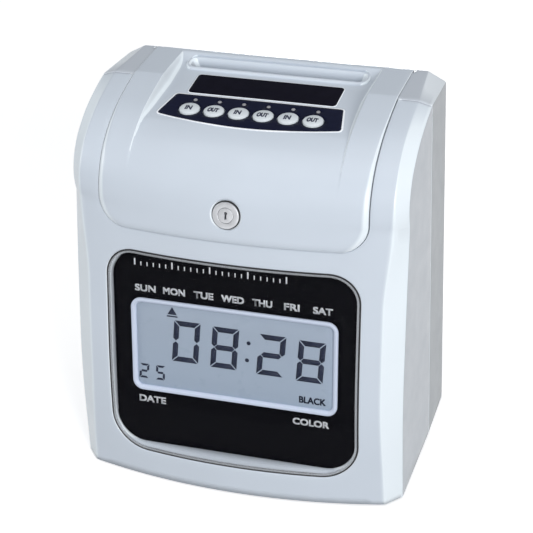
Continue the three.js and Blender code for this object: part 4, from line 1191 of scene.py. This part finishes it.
def lock_barrel():
    """A flat turned collar sunk in the cover, and the barrel behind it."""
    section = [(4.3, -0.4), (4.32, 0.2), (4.42, 0.32), (4.7, 0.38), (6.8, 0.42), (7.1, 0.34), (7.32, 0.1),
               (7.4, -0.2), (7.4, -0.9), (7.3, -1.0), (6.2, -1.0), (6.2, -LOCK_REACH + 2.3),
               (6.1, -LOCK_REACH + 2.2), (4.3, -LOCK_REACH + 2.2), (4.3, -0.4)]
    work = lathe(section, 72).moved(lock_matrix())
    piece = work.build("lock_collar", [LOCK_METAL], sharp=40)
    return settle(piece, "cover", "chrome", "lock_barrel")


def lock_shade_ring():
    """A dark ring at the bottom of the groove round the collar: a dark part where the gap has only shade, a
    painted shadow.
    """
    section = [(7.1, -0.42), (7.7, -0.42), (7.78, -0.5), (7.78, -1.1), (7.7, -1.2), (7.1, -1.2), (7.1, -0.42)]
    piece = lathe(section, 72).moved(lock_matrix()).build("lock_shade_ring", [RUBBER], sharp=40)
    return settle(piece, "cover", "rubber")


def keyway_loop():
    """A key's slot: a round head over a narrower slit."""
    head = [(0.85 * cos(a), 1.2 + 0.85 * sin(a)) for a in np.radians(np.linspace(-55, 235, 15))]
    return np.array([*head, (-0.6, -1.95), (-0.45, -2.1), (0.45, -2.1), (0.6, -1.95)])


def lock_cylinder():
    work = Patchwork()
    rim = circle_loop(0, 0, 3.75, 48)
    slot_outer, slot_inner = grown(keyway_loop(), 0.12), keyway_loop()
    work.skin(lambda x, y: np.stack(np.broadcast_arrays(x, y, 0.42), axis=-1), [rim, slot_outer])
    work.grid([level(slot_outer, 0.42), level(slot_inner, 0.27), level(slot_inner, -5.0)], closed=True)
    work.cap(level(slot_inner, -5.0))
    rings = [level(circle_loop(0, 0, r, 48), h) for r, h in
             ((3.75, 0.42), (4.0, 0.37), (4.15, 0.24), (4.2, 0.05), (4.2, -LOCK_REACH + 1.8),
              (2.2, -LOCK_REACH + 1.8), (2.2, -LOCK_REACH - 1.5), (2.1, -LOCK_REACH - 1.6),
              (0.0, -LOCK_REACH - 1.6))]
    work.grid(rings, closed=True)
    work.moved(lock_matrix())
    piece = work.build("lock_plug", [LOCK_METAL], sharp=40)
    return settle(piece, "lock_plug", "chrome", "lock_cylinder")


lock_barrel()
lock_shade_ring()
lock_cylinder()


# ---- Window ------------------------------------------------------------------------------------------------
LENS_INSET, LENS_THICK = 0.35, 1.3


def window_lens():
    """The clear window: its face transparent, its edge band painted a pale grey as a painted reflection of
    the light the clear edge refracts.
    """
    work = Patchwork()
    rings = []
    for before, inset in [*fillet_rows(0.5, 4)[::-1], (1.6, 0.0)]:
        loop = window_outline(-GAP - before)
        rings.append(case_point(loop[:, 0], loop[:, 1], LENS_INSET + inset))
    work.grid(rings, 1, closed=True)
    inner = window_outline(-GAP - 1.6)
    low, high = inner.min(axis=0), inner.max(axis=0)
    filling = clear_points(spread(low[0], high[0], 6), spread(low[1], high[1], 6), inner, [], 3)
    work.skin(lambda x, s: case_point(x, s, LENS_INSET), [inner], filling)
    piece = work.build("window_pane", [CLEAR, CLEAR_EDGE_SHEEN])
    thicken(piece, LENS_THICK)
    return settle(piece, "housing", "clear", "window_lens")


def window_shade_bead():
    """A thin black bead in the gap round the window, backing its edge: a dark part where the gap has only
    shade, a painted shadow.
    """
    section = [(0.05, 0.5), (-0.12, 0.32), (-0.68, 0.3), (-0.86, 0.42), (-0.86, 0.9), (-0.32, 1.0),
               (-0.32, 1.72), (-1.0, 1.72), (-1.1, 1.82), (-1.1, 2.3), (0.05, 2.3)]
    rings = []
    for grow, inset in [*section, section[0]]:
        loop = window_outline(grow)
        rings.append(case_point(loop[:, 0], loop[:, 1], inset))
    piece = Patchwork().grid(rings, closed=True).build("window_shade_bead", [RUBBER])
    return settle(piece, "housing", "rubber")


# ---- Display -----------------------------------------------------------------------------------------------
def display_loop(inset, r=6.0):
    return rounded_loop(LCD_HALF_W - inset, inset, LCD_HEIGHT - inset, r, r, across=24, up=12, arc=9)


def display_panel():
    work = Patchwork()
    hole = display_loop(1.2, 5.2)
    soft = [(0.0, -0.3), (0.1, -0.08), (0.35, 0.0)]
    work.grid([panel_point(*(panel_outline(-inset)).T, out) for inset, out in soft], closed=True)
    rim = panel_outline(-soft[-1][0])
    filling = clear_points(spread(-65, 65, 9), spread(-30, 82, 9), rim, [hole], 4)
    work.skin(panel_point, [rim, hole], filling)
    piece = thicken(work.build("display_mask", [BLACK_FILM]), 1.4)
    return settle(piece, "housing", "black_gloss", "display_panel")


def display_bezel():
    """The display's frame: a softly rounded bar with a bead along its inner edge."""
    section = [(0.0, 0.1), (0.0, 0.95), (0.15, 1.3), (0.5, 1.5), (1.2, 1.55), (1.8, 1.4), (2.2, 1.0),
               (2.5, 0.75), (2.75, 0.35), (2.8, -0.3), (1.4, -0.3), (1.4, 0.1)]
    rings = [panel_point(*display_loop(inset, max(3.2, 6 - inset)).T, out) for inset, out in section]
    work = Patchwork().grid([*rings, rings[0]], closed=True)
    piece = work.build("display_frame", [PALE_BLUE], sharp=50)
    return settle(piece, "housing", "pale_blue", "lcd_bezel")


def display_glass():
    work = Patchwork()
    soft = [(0.0, -0.35), (0.12, -0.1), (0.35, 0.0)]
    base = 2.45
    rings = [display_loop(base + inset, 3.2) for inset, _ in soft]
    work.grid([panel_point(*loop.T, out - 0.2) for loop, (_, out) in zip(rings, soft)], closed=True)
    filling = clear_points(spread(-52, 52, 8), spread(6, 50, 8), rings[-1], [], 4)
    work.skin(lambda x, v: panel_point(x, v, -0.2), [rings[-1]], filling)
    piece = thicken(work.build("display_cell", [LCD]), 2.2)
    return settle(piece, "housing", "lcd", "lcd_glass")


# ---- Digits and prints -------------------------------------------------------------------------------------
SEGMENTS = {"0": "abcdef", "1": "bc", "2": "abged", "5": "afgcd", "8": "abcdefg"}
DIGIT_SLANT = tan(radians(4.4))
INK_OUT = -0.12


def segment_shapes(wide, high, thick, gap):
    """The seven bars of a digit, mitred at the corners, in the box from (0, 0) to (wide, high)."""
    mid, half = high / 2, thick / 2
    upper = [(0, high - gap), (thick, high - thick - gap), (thick, mid + half + gap / 2),
             (half, mid + gap * 0.7), (0, mid + half + gap / 2)]
    bar = [(gap, high), (thick + gap, high - thick), (wide - thick - gap, high - thick), (wide - gap, high)]
    middle = [(half + gap, mid), (thick + gap / 2, mid - half), (wide - thick - gap / 2, mid - half),
              (wide - half - gap, mid), (wide - thick - gap / 2, mid + half), (thick + gap / 2, mid + half)]
    across = lambda shape: [(wide - x, y) for x, y in shape[::-1]]
    down = lambda shape: [(x, high - y) for x, y in shape[::-1]]
    return {"f": upper, "b": across(upper), "e": down(upper), "c": across(down(upper)), "a": bar,
            "d": down(bar), "g": middle}


def panel_v(z):
    """How far up the leaning panel a height is."""
    return (np.asarray(z) - PANEL_ORIGIN[1]) / cos(PANEL_TILT)


def ink_shape(work, shape, out=INK_OUT):
    shape = np.array(shape, float)
    work.cap(panel_point(shape[:, 0], shape[:, 1], out))


def digit(work, figure, x, z, thick, gap):
    low, high = panel_v(z)
    tall = high - low
    wide = x[1] - x[0] - tall * DIGIT_SLANT
    shapes = segment_shapes(wide, tall, thick, gap)
    for name in SEGMENTS[figure]:
        ink_shape(work, [(x[0] + u + v * DIGIT_SLANT, low + v) for u, v in shapes[name]])


COLON, COLON_R = ((8.6, 92.1), (7.6, 81.7)), 1.15


def display_digits():
    work = Patchwork()
    digit(work, "0", (-36.2, -19.0), (75.1, 99.9), 3.1, 0.45)
    digit(work, "8", (-13.9, 3.3), (74.7, 99.4), 3.1, 0.45)
    digit(work, "2", (12.8, 30.1), (74.2, 98.7), 3.1, 0.45)
    digit(work, "8", (35.4, 52.5), (73.6, 98.1), 3.1, 0.45)
    digit(work, "2", (-55.9, -49.7), (62.0, 70.9), 1.25, 0.3)
    digit(work, "5", (-46.3, -40.2), (62.0, 70.9), 1.25, 0.3)
    for x, z in COLON:
        ink_shape(work, circle_loop(x, float(panel_v(z)), COLON_R, 20))
    low, high = (float(v) for v in panel_v((101.6, 107.6)))
    ink_shape(work, [(-38.6, low), (-32.4, low), (-32.4, low + 0.8), (-38.6, low + 0.8)])
    ink_shape(work, [(-38.2, low + 1.5), (-32.8, low + 1.5), (-35.5, high)])
    word(work, lambda x, v: panel_point(x, v, INK_OUT), "BLACK", (37.4, float(panel_v(60.5))),
         (52.6, float(panel_v(64.6))), bold=0.17)
    piece = thicken(work.build("display_digits", [SEGMENT_INK]), 0.06)
    return settle(piece, "housing", "lcd")


DAYS = {"SUN": (-56.9, -44.7), "MON": (-40.5, -27.7), "TUE": (-22.7, -11.4), "WED": (-6.9, 6.1),
        "THU": (10.8, 22.1), "FRI": (28.7, 37.4), "SAT": (44.9, 55.9)}


def panel_print():
    """Day names, date and colour marks, and a plain scale of hours along the top."""
    work = Patchwork()
    on_panel = lambda x, v: panel_point(x, v, 0.05)
    for text, (x0, x1) in DAYS.items():
        word(work, on_panel, text, (x0, float(panel_v(114.9))), (x1, float(panel_v(119.0))), bold=0.2)
    word(work, on_panel, "DATE", (-56.2, float(panel_v(47.3))), (-40.3, float(panel_v(51.4))), bold=0.2)
    word(work, on_panel, "COLOR", (33.9, float(panel_v(46.9))), (54.7, float(panel_v(51.0))), bold=0.2)
    foot = float(panel_v(130.2))
    for hour in range(25):
        x = lerp(-56.6, 30.0, hour / 24)
        tall, half = (4.0, 0.42) if hour % 6 == 0 else (2.4, 0.3)
        left, right, top = x - half, x + half, foot + tall
        ink_shape(work, [(left, foot), (right, foot), (right, top), (left, top)], 0.05)
    piece = thicken(work.build("panel_print", [WHITE_INK]), 0.04)
    return settle(piece, "housing", "black_gloss")


window_lens()
window_shade_bead()
display_panel()
display_bezel()
display_glass()
display_digits()
panel_print()


# ---- Refining frame pieces ---------------------------------------------------------------------------------
def refined(node, materials, slot, soft, paint=None):
    """A copy of a frame node with its flat faces joined up and its edges softened; it stands for the node."""
    source = frame["nodes"][node]
    mesh = source.data.copy()
    piece = bpy.data.objects.new(f"{node}_detailed", mesh)
    bpy.context.scene.collection.objects.link(piece)
    work = bmesh.new()
    work.from_mesh(mesh)
    bmesh.ops.remove_doubles(work, verts=work.verts, dist=1e-6)
    bmesh.ops.dissolve_limit(work, angle_limit=radians(0.5), verts=work.verts, edges=work.edges)
    work.to_mesh(mesh)
    work.free()
    mesh.materials.clear()
    for material in materials:
        mesh.materials.append(material)
    for face in mesh.polygons:
        face.material_index = paint(face) if paint else 0
    mesh.shade_smooth()
    mesh.set_sharp_from_angle(angle=radians(30))
    modify(piece, "BEVEL", width=soft * MM, segments=2, limit_method="ANGLE", angle_limit=radians(35),
           harden_normals=True, use_clamp_overlap=True)
    return settle(piece, frame_body(node), slot, node)


def frame_body(node):
    return next(body for body, names in frame["record"]["behaviour"]["bodies"].items() if node in names)


def node_box(node):
    low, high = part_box(node)
    return np.array(low) / MM, np.array(high) / MM


def along_x(centre_y, centre_z, x=0.0):
    """A frame whose Z runs along X, for turned pieces on a shaft."""
    return Matrix.Translation((x, centre_y, centre_z)) @ Matrix.Rotation(pi / 2, 4, "Y")


def along_y(x, y, z):
    """A frame whose Z runs to the back."""
    return Matrix.Translation((x, y, z)) @ Matrix.Rotation(-pi / 2, 4, "X")


def turned_piece(name, section, matrix, material, body, slot, *nodes, count=48):
    work = lathe(section, count).moved(matrix)
    return settle(work.build(name, [material]), body, slot, *nodes)


# ---- Feet and base -----------------------------------------------------------------------------------------
def feet():
    for where in ("front_left", "front_right", "rear_left", "rear_right"):
        low, high = node_box(f"foot_{where}")
        x, y = (low[:2] + high[:2]) / 2
        section = [(0, 0.35), (2.6, 0.35), (3.0, 0.0), (6.2, 0.0), (6.7, 0.15), (7.0, 0.6), (7.0, 2.3),
                   (6.8, 2.6), (0, 2.6)]
        turned_piece(f"foot_pad_{where}", section, Matrix.Translation((x, y, 0)), RUBBER, "housing", "rubber",
                     f"foot_{where}")


def base_screws():
    """Four countersunk screws in the base, each in a shallow dish."""
    work = Patchwork()
    for x in (-56, 56):
        for y in (-24, 36):
            work.joined(screw_head(2.9).moved(Matrix.Translation((x, y, 1.45)) @ Matrix.Rotation(pi, 4, "X")))
    return settle(work.build("base_screws", [STEEL]), "housing", "steel")


def screw_head(r):
    """A pan head with a cross recess, seen from +Z; its seat is at height 0."""
    arm, half = 0.62 * r, 0.13 * r
    cross = []
    for quarter in range(4):
        turn = np.array([[cos(quarter * pi / 2), -sin(quarter * pi / 2)],
                         [sin(quarter * pi / 2), cos(quarter * pi / 2)]])
        cross += [tuple(turn @ p) for p in ((half, half), (half, arm), (-half, arm))]
    cross = np.array(cross)
    work = Patchwork()
    rim = circle_loop(0, 0, 0.72 * r, 32)
    work.skin(lambda x, y: np.stack(np.broadcast_arrays(x, y, 0.42 * r), axis=-1), [rim, cross])
    work.grid([level(cross, 0.42 * r), level(cross * 0.8, 0.12 * r)], closed=True)
    work.cap(level(cross * 0.8, 0.12 * r))
    work.grid([level(circle_loop(0, 0, k * r, 32), h * r) for k, h in
               ((0.72, 0.42), (0.88, 0.34), (0.97, 0.2), (1.0, 0.0))], closed=True)
    work.cap(level(circle_loop(0, 0, r, 32), 0))
    return work


def rear_screws():
    """Four screws that hold the back shell, near its corners."""
    work = Patchwork()
    for x in (-80, 80):
        for z in (46, 192):
            work.joined(screw_head(2.7).moved(along_y(x, BACK_Y - 1.1, z)))
    return settle(work.build("rear_screws", [STEEL]), "housing", "steel")


# ---- Shafts, rollers and wheels ----------------------------------------------------------------------------
ROLLER_HALF, ROLLER_COUNT = 5, 40  # half of a roller's width, and the points round it


def roller(name, node, r, bore, body, slot, tyre):
    """A moulded nylon hub with a ribbed tyre."""
    half = ROLLER_HALF
    low, high = node_box(node)
    x, y, z = (low + high) / 2
    rib = [(r, half - 0.6)]
    for k in range(9):
        at = lerp(half - 0.9, -half + 0.9, k / 8)
        rib += [(r, at + 0.3), (r - 0.18, at + 0.1), (r - 0.18, at - 0.1), (r, at - 0.3)]
    section = [(bore, -half), (r - 1.6, -half), (r - 1.5, -half + 0.3), (r - 0.4, -half + 0.1),
               (r, -half + 0.5), *rib[::-1], (r - 0.4, half - 0.1), (r - 1.5, half - 0.3), (r - 1.6, half),
               (bore, half), (bore, -half)]
    work = lathe(section, ROLLER_COUNT)
    rings = len(section) - 1
    hub_rings = (0, rings - 2, rings - 1)
    work.slots = [int(k // ROLLER_COUNT in hub_rings) for k in range(len(work.faces))]
    piece = work.moved(along_x(y, z, x)).build(name, [tyre, NYLON])
    return settle(piece, body, slot, node)


def shaft(name, node, body):
    """A ground bar with chamfered ends and retaining-ring grooves."""
    low, high = node_box(node)
    r = (high[2] - low[2]) / 2
    _, y, z = (low + high) / 2
    section = [(0, low[0]), (r - 0.3, low[0]), (r, low[0] + 0.3), (r, low[0] + 1.4),
               (r - 0.25, low[0] + 1.45), (r - 0.25, low[0] + 2.0), (r, low[0] + 2.05),
               (r, high[0] - 2.05), (r - 0.25, high[0] - 2.0), (r - 0.25, high[0] - 1.45), (r, high[0] - 1.4),
               (r, high[0] - 0.3), (r - 0.3, high[0]), (0, high[0])]
    return turned_piece(name, section, along_x(y, z), STEEL, body, "steel", node, count=32)


def threaded_screw():
    """The carriage's lead screw: a steep rolled thread between two plain journals."""
    low, high = node_box("lead_screw")
    _, y, z = (low + high) / 2
    crest, root, start, end, lead, starts = 2.0, 1.55, -56, 56, 12, 4
    work = Patchwork()
    angles = np.arange(32) * 2 * pi / 32
    rings = [np.stack([0 * angles, 0 * angles, np.full(32, low[0])], axis=-1)]
    for x in [low[0], *spread(start - 1, end + 1, 0.5), high[0]]:
        inside_thread = start <= x <= end
        wave = np.cos(starts * (angles - 2 * pi * x / (lead * starts)))
        share = (0.5 + 0.5 * np.clip(wave * 2.2, -1, 1)) if inside_thread else np.ones(32)
        r = root + (crest - root) * share
        rings.append(np.stack([r * np.cos(angles), r * np.sin(angles), np.full(32, x)], axis=-1))
    rings.append(np.stack([0 * angles, 0 * angles, np.full(32, high[0])], axis=-1))
    work.grid(rings, closed=True)
    piece = work.moved(along_x(y, z)).build("carriage_screw", [STEEL], sharp=50)
    return settle(piece, "screw", "steel", "lead_screw")


def motor(name, r, x_ends, y, z, shaft_r, shaft_end):
    """A drawn can with a boss, crimped rim and end bell; the shaft stands out of the boss."""
    x0, x1 = x_ends
    toward = 1 if shaft_end > x1 else -1
    face, back = (x1, x0) if toward > 0 else (x0, x1)
    length = abs(face - back)
    section = [(0, 0), (2.6, 0), (2.6, 0.35), (r * 0.52, 0.4), (r - 1.2, 0.4), (r - 0.3, 0.7), (r, 1.4),
               (r, length * 0.24), (r - 0.25, length * 0.26), (r - 0.25, length * 0.3), (r, length * 0.32),
               (r, length - 0.9), (r - 0.3, length - 0.3), (r - 0.9, length), (r * 0.5, length),
               (r * 0.45, length), (shaft_r, length)]
    section += [(shaft_r, abs(shaft_end - back) - 0.2), (shaft_r - 0.2, abs(shaft_end - back)),
                (0, abs(shaft_end - back))]
    work = lathe(section, 48)
    work.slots = [1 if k // 48 < 3 else 0 for k in range(len(work.faces))]
    placing = along_x(y, z, back) if toward > 0 else along_x(y, z, back) @ Matrix.Rotation(pi, 4, "X")
    return work.moved(placing).build(name, [STEEL_SHEET, BLACK_PLASTIC])


def feed_motor():
    low, high = node_box("feed_motor")
    _, y, z = (low + high) / 2
    r = (high[2] - low[2]) / 2
    can_long, shaft_r = 10.8, 1.0
    piece = motor("feed_motor_can", r, (low[0], low[0] + can_long), y, z, shaft_r, high[0])
    return settle(piece, "housing", "steel", "feed_motor")


def knurled_knob():
    """The ribbon's winding knob: a fluted disc with a finger bar across it."""
    low, high = node_box("ribbon_knob")
    x, y = (low[:2] + high[:2]) / 2
    base = low[2]
    angles = np.arange(120) * 2 * pi / 120
    rings = []
    for r, h, flute in ((0, 0, 0), (8.4, 0, 0), (8.9, 0.5, 1), (8.9, 3.0, 1), (8.4, 3.5, 0.4), (7.4, 3.6, 0),
                        (6.8, 3.2, 0), (0, 3.1, 0)):
        wave = r + 0.12 * flute * np.cos(angles * 30) - 0.12 * flute
        ring = np.column_stack([wave * np.cos(angles), wave * np.sin(angles)])
        rings.append(level(ring, base + h))
    work = Patchwork().grid(rings, closed=True)
    work.moved(Matrix.Translation((x, y, 0)))
    bar = []
    for h, inset in ((3.0, 0.0), (6.0, 0.0), (6.45, 0.15), (6.6, 0.5)):
        loop = rounded_loop(8 - inset, -1 + inset * 0.6, 1 - inset * 0.6, 0.4, 0.4, across=8, up=1, arc=5)
        bar.append(level(loop + (x, y), base + h))
    bar_work = Patchwork().grid(bar, closed=True)
    bar_work.cap(bar[-1]).cap(bar[0][::-1])
    piece = work.joined(bar_work).build("ribbon_winder", [KEY_WHITE])
    return settle(piece, "ribbon_drive", "key_white", "ribbon_knob")


# ---- Boards ------------------------------------------------------------------------------------------------
def block(work, low, high, soft):
    """A small moulded block with softened edges, between two corners."""
    (x0, y0, z0), (x1, y1, z1) = low, high
    rings = []
    half_x, half_z = (x1 - x0) / 2, (z1 - z0) / 2
    soft = min(soft, half_x * 0.6, half_z * 0.6, (y1 - y0) * 0.4)
    for y, inset in ((y0, soft), (y0 + soft, 0), (y1 - soft, 0), (y1, soft)):
        loop = rounded_loop(half_x - inset, -half_z + inset, half_z - inset, soft * 0.5, soft * 0.5,
                            across=2, up=2, arc=2)
        rings.append(np.column_stack([loop[:, 0] + (x0 + x1) / 2, np.full(len(loop), y),
                                      loop[:, 1] + (z0 + z1) / 2]))
    box_work = Patchwork().grid(rings, closed=True)
    box_work.cap(rings[0]).cap(rings[-1][::-1])
    return work.joined(box_work)


PIN_PITCH = 2.54


def chip_legs(work, x0, x1, z0, z1, y0, y1):
    """Bent legs along both long sides of a chip."""
    for x in np.arange(x0 + PIN_PITCH / 2, x1, PIN_PITCH):
        for z, out in ((z0, -1), (z1, 1)):
            ends = sorted((z, z + out * 1.3))
            block(work, (x - 0.25, y0, ends[0]), (x + 0.25, y1, ends[1]), 0.08)


def capacitor(work, x, z, r, y0, tall):
    """A standing can with a rolled groove and a rounded rim round its sunk end."""
    can = lathe([(0, 0), (r, 0), (r, 0.8), (r - 0.3, 1.1), (r, 1.5), (r, tall - 0.5), (r - 0.4, tall),
                 (r - 0.8, tall - 0.15), (0, tall - 0.15)], 28)
    return work.joined(can.moved(along_y(x, y0, z)))


def main_board():
    board_y = 1.6
    refined("main_board", [BOARD, BLACK_PLASTIC, PALE_BLUE], "board", 0.2,
            paint=lambda face: int(face.center.y > (board_y + 0.02) * MM))
    legs, cans, sockets = Patchwork(), Patchwork(), Patchwork()
    chip_legs(legs, -20, 4, 60, 80, board_y, 2.6)
    chip_legs(legs, 12, 30, 64, 78, board_y, 2.6)
    for x, z, r in ((-24, 26, 4), (-13, 26, 4), (-2, 28, 3), (26, 110, 3.2), (-66, 60, 3), (-66, 70, 3)):
        capacitor(cans, x, z, r, board_y, 9.5)
    for x, z in ((-10, 112), (6, 112), (66, 70), (66, 84)):
        block(sockets, (x - 5, board_y, z - 2.6), (x + 5, 7.2, z + 2.6), 0.4)
        for pin in range(4):
            block(legs, (x - 4 + pin * 2.5, 7.0, z - 0.3), (x - 3.5 + pin * 2.5, 8.4, z + 0.3), 0.1)
    settle(legs.build("board_legs", [STEEL_SHEET]), "housing", "steel")
    settle(cans.build("board_capacitors", [SLEEVE]), "housing", "plastic_black")
    settle(sockets.build("board_sockets", [NYLON]), "housing", "nylon")


def keypad_joints():
    """Solder joints and a low header on the inner face of the cover's board."""
    place = deck_matrix(0, KEY_ROW_Y)
    inward = np.array(place.inverted())
    corners = np.array([tuple(v.co) for v in frame["nodes"]["keypad_board"].data.vertices]) / MM
    corners = corners @ inward[:3, :3].T + inward[:3, 3]
    (_, front, under), (_, back, _) = corners.min(axis=0), corners.max(axis=0)
    joints, header = Patchwork(), Patchwork()
    cone = [(0.0, 0.02), (0.8, 0.02), (0.75, -0.15), (0.4, -0.5), (0.28, -0.95), (0.0, -1.0)]
    feet = [(key_x(k) + across, along) for k in KEYS
            for across, along in ((-1.3, LED_Y), (1.3, LED_Y), (-3.3, front + 2), (3.3, front + 2))]
    feet += [(x, back - 3) for x in np.arange(-11.4, 12, PIN_PITCH)]
    for x, along in feet:
        joints.joined(lathe(cone, 12).moved(Matrix.Translation((x, along, under))))
    block(header, (-13, back - 7.6, under - 2.6), (13, back - 4.4, under), 0.4)
    joints.moved(place)
    header.moved(place)
    settle(joints.build("keypad_joints", [STEEL_SHEET]), "cover", "steel")
    settle(header.build("keypad_header", [BLACK_PLASTIC]), "cover", "plastic_black")


def battery():
    """Two shrink-wrapped cells with bare caps."""
    low, high = node_box("backup_battery")
    work = Patchwork()
    x = (low[0] + high[0]) / 2
    for z in (low[2] + 7, high[2] - 7):
        cell = lathe([(0, -1.1), (2.4, -1.1), (2.6, -0.9), (2.6, 0.0), (6.1, 0.05), (6.8, 0.25), (7.0, 0.8),
                      (7.0, 33.2), (6.7, 33.8), (6.0, 34.0), (0, 33.9)], 40)
        cell.slots = [1 if k // 40 < 4 else 0 for k in range(len(cell.faces))]
        work.joined(cell.moved(along_y(x, low[1], z)))
    piece = work.build("battery_cells", [SLEEVE, STEEL_SHEET])
    return settle(piece, "housing", "pale_blue", "backup_battery")


feet()
base_screws()
rear_screws()
for side in ("left", "right"):
    roller(f"feed_tyre_{side}", f"feed_roller_{side}", 7.7, 2.2, "feed_drive", "rubber", RUBBER)
for side in ("left", "right"):
    roller(f"pinch_wheel_{side}", f"pinch_roller_{side}", 4.4, 1.7, "pinch_drive", "nylon", NYLON)
shaft("feed_axle", "feed_shaft", "feed_drive")
shaft("pinch_axle", "pinch_shaft", "pinch_drive")
shaft("guide_rod", "guide_shaft", "housing")
shaft("hinge_rod_left", "hinge_pin_left", "housing")
shaft("hinge_rod_right", "hinge_pin_right", "housing")
threaded_screw()
feed_motor()
knurled_knob()
main_board()
battery()
refined("base_plate", [BLACK_PLASTIC], "plastic_black", 0.3)
refined("lock_catch", [STEEL_SHEET], "steel", 0.2)
refined("lock_cam", [STEEL_SHEET], "steel", 0.25)
refined("lock_nut", [BRASS], "brass", 0.3)
refined("side_plate_left", [STEEL_SHEET], "steel", 0.15)
refined("side_plate_right", [STEEL_SHEET], "steel", 0.15)
refined("card_chute_front", [STEEL_SHEET], "steel", 0.15)
refined("card_chute_rear", [STEEL_SHEET], "steel", 0.15)
refined("card_stop", [BLACK_PLASTIC], "plastic_black", 0.3)
refined("platen", [RUBBER], "rubber", 0.4)
refined("feed_gear", [NYLON], "nylon", 0.12)
refined("motor_pinion", [BRASS], "brass", 0.1)
refined("screw_motor", [STEEL_SHEET], "steel", 0.3)
refined("print_carriage", [BLACK_PLASTIC], "plastic_black", 0.5)
refined("print_head", [STEEL_SHEET], "steel", 0.3)
refined("ribbon_cassette", [BLACK_PLASTIC], "plastic_black", 0.6)
refined("ribbon", [LABEL_FILM], "black_gloss", 0.1)
refined("display_board", [BOARD, BLACK_PLASTIC], "board", 0.2)
refined("keypad_board", [BOARD, BLACK_PLASTIC], "board", 0.2)
keypad_joints()
refined("power_inlet", [BLACK_PLASTIC], "plastic_black", 0.35)
refined("buzzer", [BLACK_PLASTIC], "plastic_black", 0.4)
refined("card_sensor", [BLACK_PLASTIC], "plastic_black", 0.3)


# ---- Stage -------------------------------------------------------------------------------------------------
CAMERA_PLACE, CAMERA_LENS = (288.6, -847.4, 628.5), 124.33
CAMERA_TURN = (radians(18.49), radians(29.93), radians(-2.34))  # azimuth, elevation, roll


def camera():
    azimuth, elevation, roll = CAMERA_TURN
    forward = Vector((-sin(azimuth) * cos(elevation), cos(azimuth) * cos(elevation), -sin(elevation)))
    right = Vector((cos(azimuth), sin(azimuth), 0))
    up = right.cross(forward)
    x_axis = cos(roll) * right + sin(roll) * up
    y_axis = -sin(roll) * right + cos(roll) * up
    data = bpy.data.cameras.new("camera")
    data.lens, data.sensor_width = CAMERA_LENS, 36
    view = bpy.data.objects.new("camera", data)
    bpy.context.scene.collection.objects.link(view)
    turn = Matrix((x_axis, y_axis, -forward)).transposed()
    view.matrix_world = Matrix.Translation(Vector(CAMERA_PLACE) * MM) @ turn.to_4x4()
    bpy.context.scene.camera = view


def soft_light(name, place, size, power):
    """A square area light at a place in metres, facing the middle of the clock."""
    data = bpy.data.lights.new(name, "AREA")
    data.shape, data.size, data.energy = "SQUARE", size, power
    light = bpy.data.objects.new(name, data)
    bpy.context.scene.collection.objects.link(light)
    light.location = place
    light.rotation_euler = (Vector(LIT_POINT) - Vector(place)).to_track_quat("-Z", "Y").to_euler()


# Area lights as (place, size, power). The right one is the strongest. The back one is small and lies near the
# floor, so that it doesn't graze the roof.
LIT_POINT = (0, 0, 0.1)
LIGHTS = {
    "front": ((-0.2, -1.9, 1.1), 1.2, 3.0),
    "right": ((1.35, -1.6, 0.8), 0.9, 36.0),
    "top": ((0.1, -0.3, 1.9), 1.6, 9.5),
    "left": ((-1.7, -0.7, 0.9), 0.9, 10.5),
    "back": ((-0.5, 1.9, 0.06), 0.28, 12.0),
    "rear": ((0.2, 1.6, 1.4), 1.2, 1.5),
}
WORLD_STRENGTH = 0.28
FLOOR_GLOW = 0.42


def studio():
    bpy.ops.mesh.primitive_plane_add(size=12, location=(0, 0, -0.0002))
    floor = bpy.context.object
    floor.name = "floor"
    surface = Surface("floor", (0.92, 0.92, 0.92), 0.9, specular=0.1)
    surface.set("Emission Color", (1, 1, 1, 1)).set("Emission Strength", FLOOR_GLOW)
    floor.data.materials.append(surface.material)
    floor.visible_diffuse = False

    world = bpy.context.scene.world or bpy.data.worlds.new("world")
    bpy.context.scene.world = world
    world.use_nodes = True
    world.node_tree.nodes["Background"].inputs["Color"].default_value = (0.93, 0.96, 1.0, 1)
    world.node_tree.nodes["Background"].inputs["Strength"].default_value = WORLD_STRENGTH
    bpy.context.scene.view_settings.view_transform = "Standard"
    for name, (place, size, power) in LIGHTS.items():
        soft_light(name, place, size, power)


camera()
studio()
